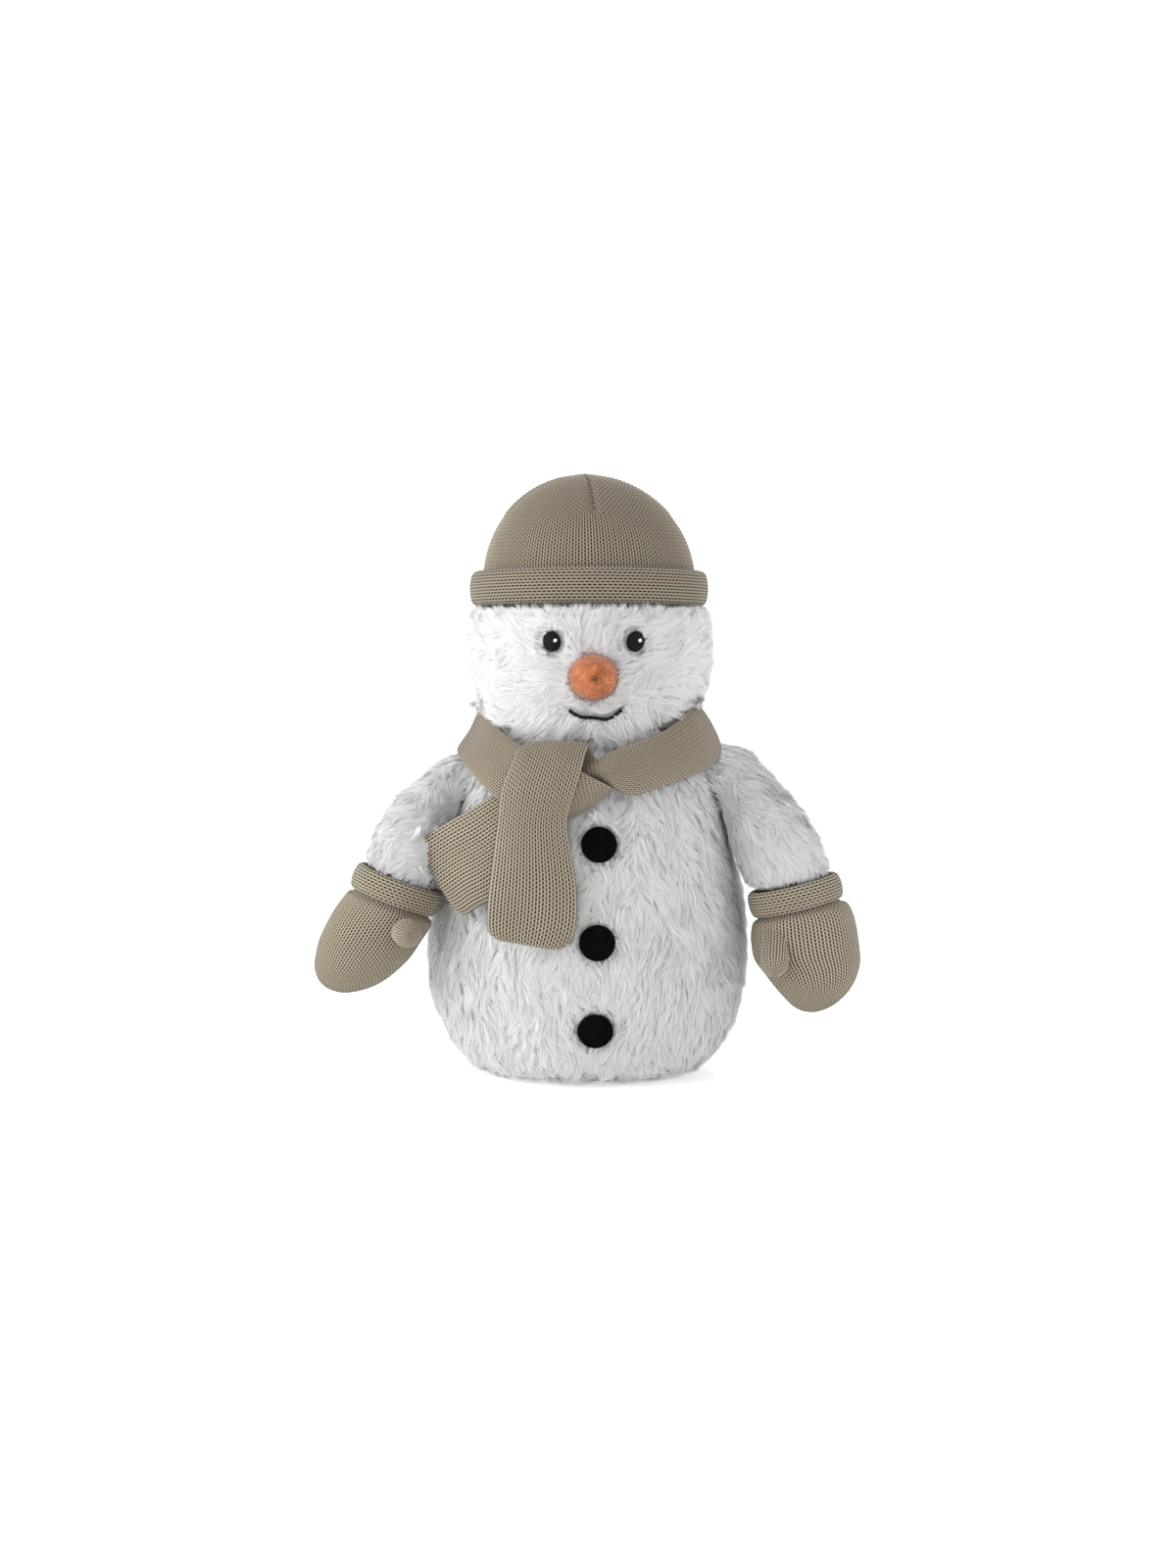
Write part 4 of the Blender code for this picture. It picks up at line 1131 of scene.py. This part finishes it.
def make_head():
    over = tree_of("scarf", "hat_brim")
    nose, mouth = box_centre("nose"), box_centre("mouth")
    eyes = [box_centre("eye_left"), box_centre("eye_right")]
    face = nose + np.array((0, 15 * MM, 0))
    brim_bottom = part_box("hat_brim")[0].z
    mouth_low, mouth_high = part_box("mouth")
    nose_radius = half_size("nose")[0]
    eye_width, _, eye_height = half_size("eye_left")
    mouth_line = mouth_curve()

    def from_mouth(places):
        """How far above (+) or below (-) the mouth's line a place on the front is, and how far away."""
        x = np.clip(places[:, 0], mouth_low.x, mouth_high.x)
        up = places[:, 2] - np.interp(x, mouth_line[:, 0], mouth_line[:, 2])
        gap = np.hypot(places[:, 0] - x, up)
        return up, np.where(places[:, 1] < -30 * MM, gap, 1.0)

    def flow(places):
        out = away_from(face, places)
        behind = np.clip((places[:, 1] + 25 * MM) / (45 * MM), 0, 1)[:, None]
        out = out * (1 - behind) + np.array((0, 0.2, -1.0)) * behind
        for centre in eyes:
            near = near_share(places, centre, 5 * MM, 9 * MM)[:, None]
            out = out * (1 - 0.35 * near) + away_from(centre, places) * near * 0.35
        up, gap = from_mouth(places)
        near = falling(gap, MOUTH_PARTING)[:, None]
        parted = np.stack((0.4 * np.sign(places[:, 0] - mouth[0]), np.zeros(len(places)), np.sign(up)), -1)
        out = out * (1 - near) + parted * near
        reach = BRIM_TUFTS * (1 + 0.9 * smooth_noise(places, 9 * MM, BRIM_SEED))
        brim_near = falling(brim_bottom - places[:, 2], reach)[:, None]
        return out * (1 - brim_near) + np.array((0, 0, 1.0)) * brim_near

    def style(places):
        length = np.full(len(places), HAIR_LENGTH)
        for centre in eyes:
            length = length * (1 - 0.55 * near_share(places, centre, 5 * MM, 12 * MM, (1, 0.4, 1)))
        length = length * (1 - 0.5 * near_share(places, nose, 12 * MM, 20 * MM, (1, 0.4, 1)))
        length = length * (1 - 0.4 * falling(brim_bottom - places[:, 2], 5 * MM))
        _, gap = from_mouth(places)
        length = length * (1 - 0.55 * falling(gap, MOUTH_PARTING))
        chin = np.clip((CHIN_HEIGHT - places[:, 2]) / (7 * MM), 0, 1) * np.clip(gap / (6 * MM) - 0.5, 0, 1)
        chin = chin * np.clip(-places[:, 1] / (30 * MM), 0, 1)
        depth = HAIR_DEPTH * (length / HAIR_LENGTH) ** 0.5 * (1 + 0.6 * chin)
        return length * (1 + 0.4 * chin), depth, CHIN_RISE * chin

    def off_face(places):
        keep = places[:, 2] < brim_bottom - 0.3 * MM
        keep &= gap_from(nose, places, (1, 0.3, 1)) >= nose_radius * 0.91
        for centre in eyes:
            keep &= gap_from(centre, places, (1, 0.3, 0.88)) >= EYE_BARE
        return keep & (from_mouth(places)[1] > MOUTH_BARE)

    def guard(points):
        for centre in eyes:
            points = pushed_off(points, centre, eye_width * 0.97, eye_height * 0.97)
        points = pushed_off(points, nose, nose_radius, nose_radius)
        up, gap = from_mouth(points)
        near = gap < MOUTH_CLEAR
        points[near, 2] += np.where(up[near] >= 0, 1, -1) * (MOUTH_CLEAR - gap[near])
        return points

    pile = grow_pile("head_pile", "head", HAIRS["head"], flow, over, None, style, off_face, guard, seed=3)
    add_plush("head", [pile])


SHOULDER_SIDE, SHOULDER_HEIGHT = 74 * MM, 146 * MM  # where an arm's top goes under the scarf


def make_arms():
    body = tree_of("body")
    for seed, side in ((4, "left"), (5, "right")):
        node = "arm_" + side
        wrist = box_centre("mitten_cuff_" + side)
        low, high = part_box(node)
        shoulder = np.array(((low.x + high.x) / 2 * 0.4, 0, high.z))
        under = tree_of("scarf", "mitten_cuff_" + side)
        cuff_centre, cuff_axis, _ = flat_frame("mitten_cuff_" + side, (0, 0, 1))

        def flow(places):
            return np.tile(unit(wrist - shoulder), (len(places), 1))

        def style(places):
            near = falling((places - cuff_centre) @ cuff_axis - 6 * MM, 10 * MM)
            inner = np.clip((SHOULDER_SIDE - np.abs(places[:, 0])) / (10 * MM), 0, 1)
            rise = 0.4 * MM * near - 3 * MM * inner * (places[:, 2] > SHOULDER_HEIGHT)
            return HAIR_LENGTH * (1 - 0.45 * near), np.full(len(places), HAIR_DEPTH), rise

        def open_side(places):
            above_cuff = (places - cuff_centre) @ cuff_axis > 7 * MM
            return above_cuff & (gaps_to(body, places) > 1.8 * MM)

        pile = grow_pile(node + "_pile", node, HAIRS["arm"], flow, None, under, style, open_side, seed=seed)
        add_plush(node, [pile])


# --- face and buttons --------------------------------------------------------------------------

EYE_TILT = radians(14)  # both eyes lean outwards at the top
NOSE_WAY = (0.03, -1, -0.04)
NOSE_HEIGHT_RATIO = 0.93
NOSE_SEAM = radians(285)  # where the cone's seam runs, on its lower side
NOSE_SHAPE = (  # along the surface: share of the whole way, of the radius and of the length
    (0, 0.12, 0.25, 0.4, 0.52, 0.64, 0.74, 0.83, 0.91, 0.96, 1),
    (0.9, 1.0, 1.0, 0.955, 0.88, 0.78, 0.66, 0.5, 0.3, 0.15, 0.0),
    (0, 0.15, 0.3, 0.48, 0.62, 0.75, 0.845, 0.92, 0.975, 0.993, 1),
)


def upright(out):
    """The ways to the right and up on a face that looks out along a way."""
    right = unit(np.cross(np.array((0, 0, 1.0)), out))
    return right, np.cross(out, right)


def tube(path, radius, sides=8):
    """A closed tube along a path of points; radius is one number or one for each point."""
    path = np.asarray(path)
    radius = np.broadcast_to(np.asarray(radius, float), (len(path),))
    runs = unit(np.gradient(path, axis=0))
    side = unit(np.cross(runs, np.array((0.13, 0.21, 1.0))))
    up = np.cross(side, runs)
    a = np.arange(sides) / sides * 2 * pi
    rings = path[:, None] + radius[:, None, None] * (
        side[:, None] * np.cos(a)[None, :, None] + up[:, None] * np.sin(a)[None, :, None]
    )
    points = np.concatenate((rings.reshape(-1, 3), path[:1], path[-1:]))
    faces = []
    last = (len(path) - 1) * sides
    for i in range(sides):
        j = (i + 1) % sides
        for row in range(0, last, sides):
            faces += [(row + i, row + j, row + sides + j), (row + i, row + sides + j, row + sides + i)]
        faces += [(j, i, len(points) - 2), (last + i, last + j, len(points) - 1)]
    return points, np.array(faces)


def joined(name, parts):
    return mesh_object(name, *joined_arrays(parts))


def satin_oval(node, threads, lean, tilt=0.0, shift=0.0):
    """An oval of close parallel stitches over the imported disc, tilted and moved a little to the right."""
    centre, out, points = flat_frame(node, (0, -1, 0))
    right, up = upright(out)
    spread = points - centre
    half_width, half_height = np.abs(spread @ right).max(), np.abs(spread @ up).max()
    base, top = (spread @ out).min(), (spread @ out).max()
    centre = centre + right * shift
    right, up = right * cos(tilt) + up * sin(tilt), up * cos(tilt) - right * sin(tilt)
    across = right * cos(lean) + up * sin(lean)
    along = np.cross(out, across)
    parts = []
    radius = half_height / threads * 1.15
    for i in range(threads):
        offset = (2 * (i + 0.5) / threads - 1) * 0.96
        reach = half_width * (1 - offset**2) ** 0.5 * 0.97
        t = np.linspace(-1, 1, 9)
        dome = (1 - (offset**2 + (t * reach / half_width) ** 2).clip(0, 1)) ** 0.5
        height = base + (top - base - radius) * (0.25 + 0.75 * dome)
        path = centre + across * (t * reach)[:, None] + along * (offset * half_height) + out * height[:, None]
        parts.append(tube(path, radius, 6))
    return parts


def make_eyes():
    for side, tilt, glint_shift in (("left", EYE_TILT, 0.0), ("right", -EYE_TILT, -0.9 * MM)):
        node = "eye_" + side
        eye = joined("stitched_eye_" + side, satin_oval(node, 15, 0.0, tilt))
        add_piece(eye, BLACK_THREAD, "black_thread", node)
        glint = joined("stitched_glint_" + side, satin_oval("eye_glint_" + side, 4, 0.6, 0.0, glint_shift))
        add_piece(glint, WHITE_THREAD, "white_thread", "eye_glint_" + side)


def mouth_curve():
    """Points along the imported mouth's middle, on a smooth curve."""
    points, _ = node_arrays("mouth")
    low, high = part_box("mouth")
    x = np.linspace(low.x + 0.9 * MM, high.x - 0.9 * MM, 90)
    spread = (high.x - low.x) / 2
    middle = (high.x + low.x) / 2
    t, at = (points[:, 0] - middle) / spread, (x - middle) / spread
    y = np.polyval(np.polyfit(t, points[:, 1], 4), at)
    z = np.polyval(np.polyfit(t, points[:, 2], 6), at)
    return np.stack((x, y, z), -1)


MOUTH_STITCH = 2.6 * MM  # length of one backstitch


def make_mouth():
    """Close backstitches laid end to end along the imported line."""
    line = mouth_curve()
    stitch = np.abs(np.sin(pi * distances_along(line) / MOUTH_STITCH))
    radius = 0.72 * MM + 0.18 * MM * stitch**0.5
    radius[0] = radius[-1] = 0.4 * MM
    line[:, 1] -= 0.7 * MM
    mouth = joined("stitched_mouth", [tube(line, radius, 10)])
    add_piece(mouth, BLACK_THREAD, "black_thread", "mouth")


def turned_cap(profile, steps, ripple, seed):
    """A closed turned shape about +Z from (radius, height) rows, its first and last on the axis."""
    rows = np.array(profile)
    a = np.arange(steps) / steps * 2 * pi
    rings = []
    for radius, height in rows[1:-1]:
        spots = [Vector((cos(t) * 1.7, sin(t) * 1.7, seed + height * 200)) for t in a]
        wobble = 1 + ripple * np.array([noise.noise(spot) for spot in spots])
        ring = radius * wobble * np.cos(a), radius * wobble * np.sin(a), np.full(steps, height)
        rings.append(np.stack(ring, -1))
    points = np.concatenate(rings + [[(0, 0, rows[0][1])], [(0, 0, rows[-1][1])]])
    faces = []
    last = (len(rings) - 1) * steps
    for i in range(steps):
        j = (i + 1) % steps
        for row in range(0, last, steps):
            faces += [(row + i, row + steps + i, row + steps + j), (row + i, row + steps + j, row + j)]
        faces += [(len(points) - 2, i, j), (last + j, last + i, len(points) - 1)]
    return points, np.array(faces)


def stand_at(points, centre, out):
    """Points about +Z moved to a centre and turned to look out along a way."""
    right, up = upright(out)
    return centre + points[:, :1] * right + points[:, 1:2] * up + points[:, 2:] * out


def make_buttons():
    """Felt discs with a cut edge and short fuzz."""
    rng = np.random.default_rng(SEED + 20)
    for number, name in enumerate(("top", "middle", "bottom")):
        node = "button_" + name
        centre, out, solid = flat_frame(node, (0, -1, 0))
        spread = solid - centre
        base, top = (spread @ out).min(), (spread @ out).max()
        radius = np.linalg.norm(spread - np.outer(spread @ out, out), axis=1).max()
        rim = 0.9 * MM
        profile = [(0, top), (0.35 * radius, top - 0.05 * MM), (0.7 * radius, top - 0.2 * MM)]
        for turn in (radians(t) for t in (80, 55, 30, 5)):
            profile.append((radius - rim + rim * cos(turn), top - 0.35 * MM - rim + rim * sin(turn)))
        profile += [(radius * 0.99, base + 0.5 * MM), (radius * 0.9, base), (0, base)]
        points, faces = turned_cap(profile, 56, 0.02, number * 3.0)
        disc = mesh_object("felt_" + node, stand_at(points, centre, out), faces)
        add_piece(disc, FELT, "black_felt", node)
        # fuzz on the face and round the rim
        r = radius * np.sqrt(rng.random(FELT_FIBRES))
        a = rng.random(FELT_FIBRES) * 2 * pi
        high = top - 0.25 * MM * (r / radius) ** 4 - np.where(r > radius * 0.95, 0.5 * MM, 0)
        root = stand_at(np.stack((r * np.cos(a), r * np.sin(a), high - 0.15 * MM), -1), centre, out)
        ways = unit(rng.normal(0, 1, (FELT_FIBRES, 3)) + out * 0.9)
        outward = unit(root - centre)
        ways = unit(ways + outward * (r / radius)[:, None] ** 6)
        fuzz = strand_fuzz("felt_fuzz_" + name, root, ways, 0.9 * MM, 0.16 * MM, rng)
        add_piece(fuzz, FELT, "black_felt", node)


def strand_fuzz(name, root, ways, length, width, rng):
    """Very short flat fibres for felt and velour."""
    long = length * rng.uniform(0.5, 1.2, len(root))[:, None]
    tip = root + ways * long + rng.normal(0, 0.25, root.shape) * long
    sideways = unit(np.cross(ways, rng.normal(0, 1, root.shape))) * width / 2
    points = np.stack((root - sideways, root + sideways, tip), 1).reshape(-1, 3)
    fuzz = mesh_object(name, points, np.arange(len(points)).reshape(-1, 3))
    fuzz.data.normals_split_custom_set_from_vertices(np.repeat(unit(ways), 3, axis=0).astype(np.float32))
    return fuzz


def make_nose():
    """A short stuffed cone of velour, blunt and sewn up along one side, under short brushed fibres."""
    rng = np.random.default_rng(SEED + 30)
    solid, _ = node_arrays("nose")
    centre = box_centre("nose")
    out = unit(np.array(NOSE_WAY))
    spread = solid - centre
    base, top = (spread @ out).min(), (spread @ out).max()
    right, up = upright(out)
    radius = np.abs(spread @ right).max()
    length = top - base
    steps, rows = 96, 40
    turn, along = np.meshgrid(np.arange(steps) / steps * 2 * pi, np.linspace(0, 1, rows), indexing="ij")
    # from the open base round to the tip: straight sides that close in a soft round end
    slant = np.interp(along, NOSE_SHAPE[0], NOSE_SHAPE[1])
    for _ in range(2):
        slant[:, 1:-1] = (slant[:, :-2] + 2 * slant[:, 1:-1] + slant[:, 2:]) / 4
    height = base + length * np.interp(along, NOSE_SHAPE[0], NOSE_SHAPE[2])
    seam = np.exp(-(((turn - NOSE_SEAM) / 0.09) ** 2)) * (along < 0.93)
    lumps = np.array([
        noise.noise(Vector((cos(t) * 1.4, sin(t) * 1.4, a * 2.2)))
        for t, a in zip(turn.ravel(), along.ravel())
    ]).reshape(turn.shape)
    wide = radius * slant * (1 + 0.035 * lumps) - 0.35 * MM * seam
    grid = (
        centre
        + right * (wide * np.cos(turn))[..., None]
        + up * (wide * np.sin(turn) * NOSE_HEIGHT_RATIO)[..., None]
        + out * height[..., None]
    )
    index = np.arange(steps * rows).reshape(steps, rows)
    index = np.concatenate((index, index[:1]))
    faces = quads(index)
    nose = mesh_object("velour_nose", grid.reshape(-1, 3), faces[:, ::-1])
    shape = bmesh.new()
    shape.from_mesh(nose.data)
    bmesh.ops.remove_doubles(shape, verts=shape.verts, dist=0.01 * MM)
    bmesh.ops.holes_fill(shape, edges=[e for e in shape.edges if e.is_boundary], sides=0)
    bmesh.ops.recalc_face_normals(shape, faces=shape.faces)
    shape.to_mesh(nose.data)
    shape.free()
    nose.data.shade_smooth()
    add_piece(nose, VELOUR, "orange_velour", "nose")
    # fibres that stand away from the cone's middle and hang a little
    brushed = grid[:, rows // 5:].reshape(-1, 3)
    root = brushed[rng.integers(0, len(brushed), VELOUR_FIBRES)]
    root = root + rng.normal(0, 0.35 * MM, root.shape)
    outward = unit(root - (centre + out * (base + 0.45 * length)))
    ways = unit(outward + rng.normal(0, 0.35, root.shape) - up * 0.35)
    fuzz = strand_fuzz("velour_pile", root - ways * 0.5 * MM, ways, 1.0 * MM, 0.17 * MM, rng)
    add_piece(fuzz, VELOUR, "orange_velour", "nose")


# --- the whole toy -----------------------------------------------------------------------------

make_camera()
make_studio()
make_crown()
make_brim()
make_scarf()
for side in ("left", "right"):
    make_mitten(side)
    make_cuff(side)
make_body()
make_head()
make_arms()
make_eyes()
make_mouth()
make_buttons()
make_nose()

for name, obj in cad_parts.items():
    obj.data.materials.clear()
    obj.data.materials.append(SKIN)

bpy.context.view_layer.update()
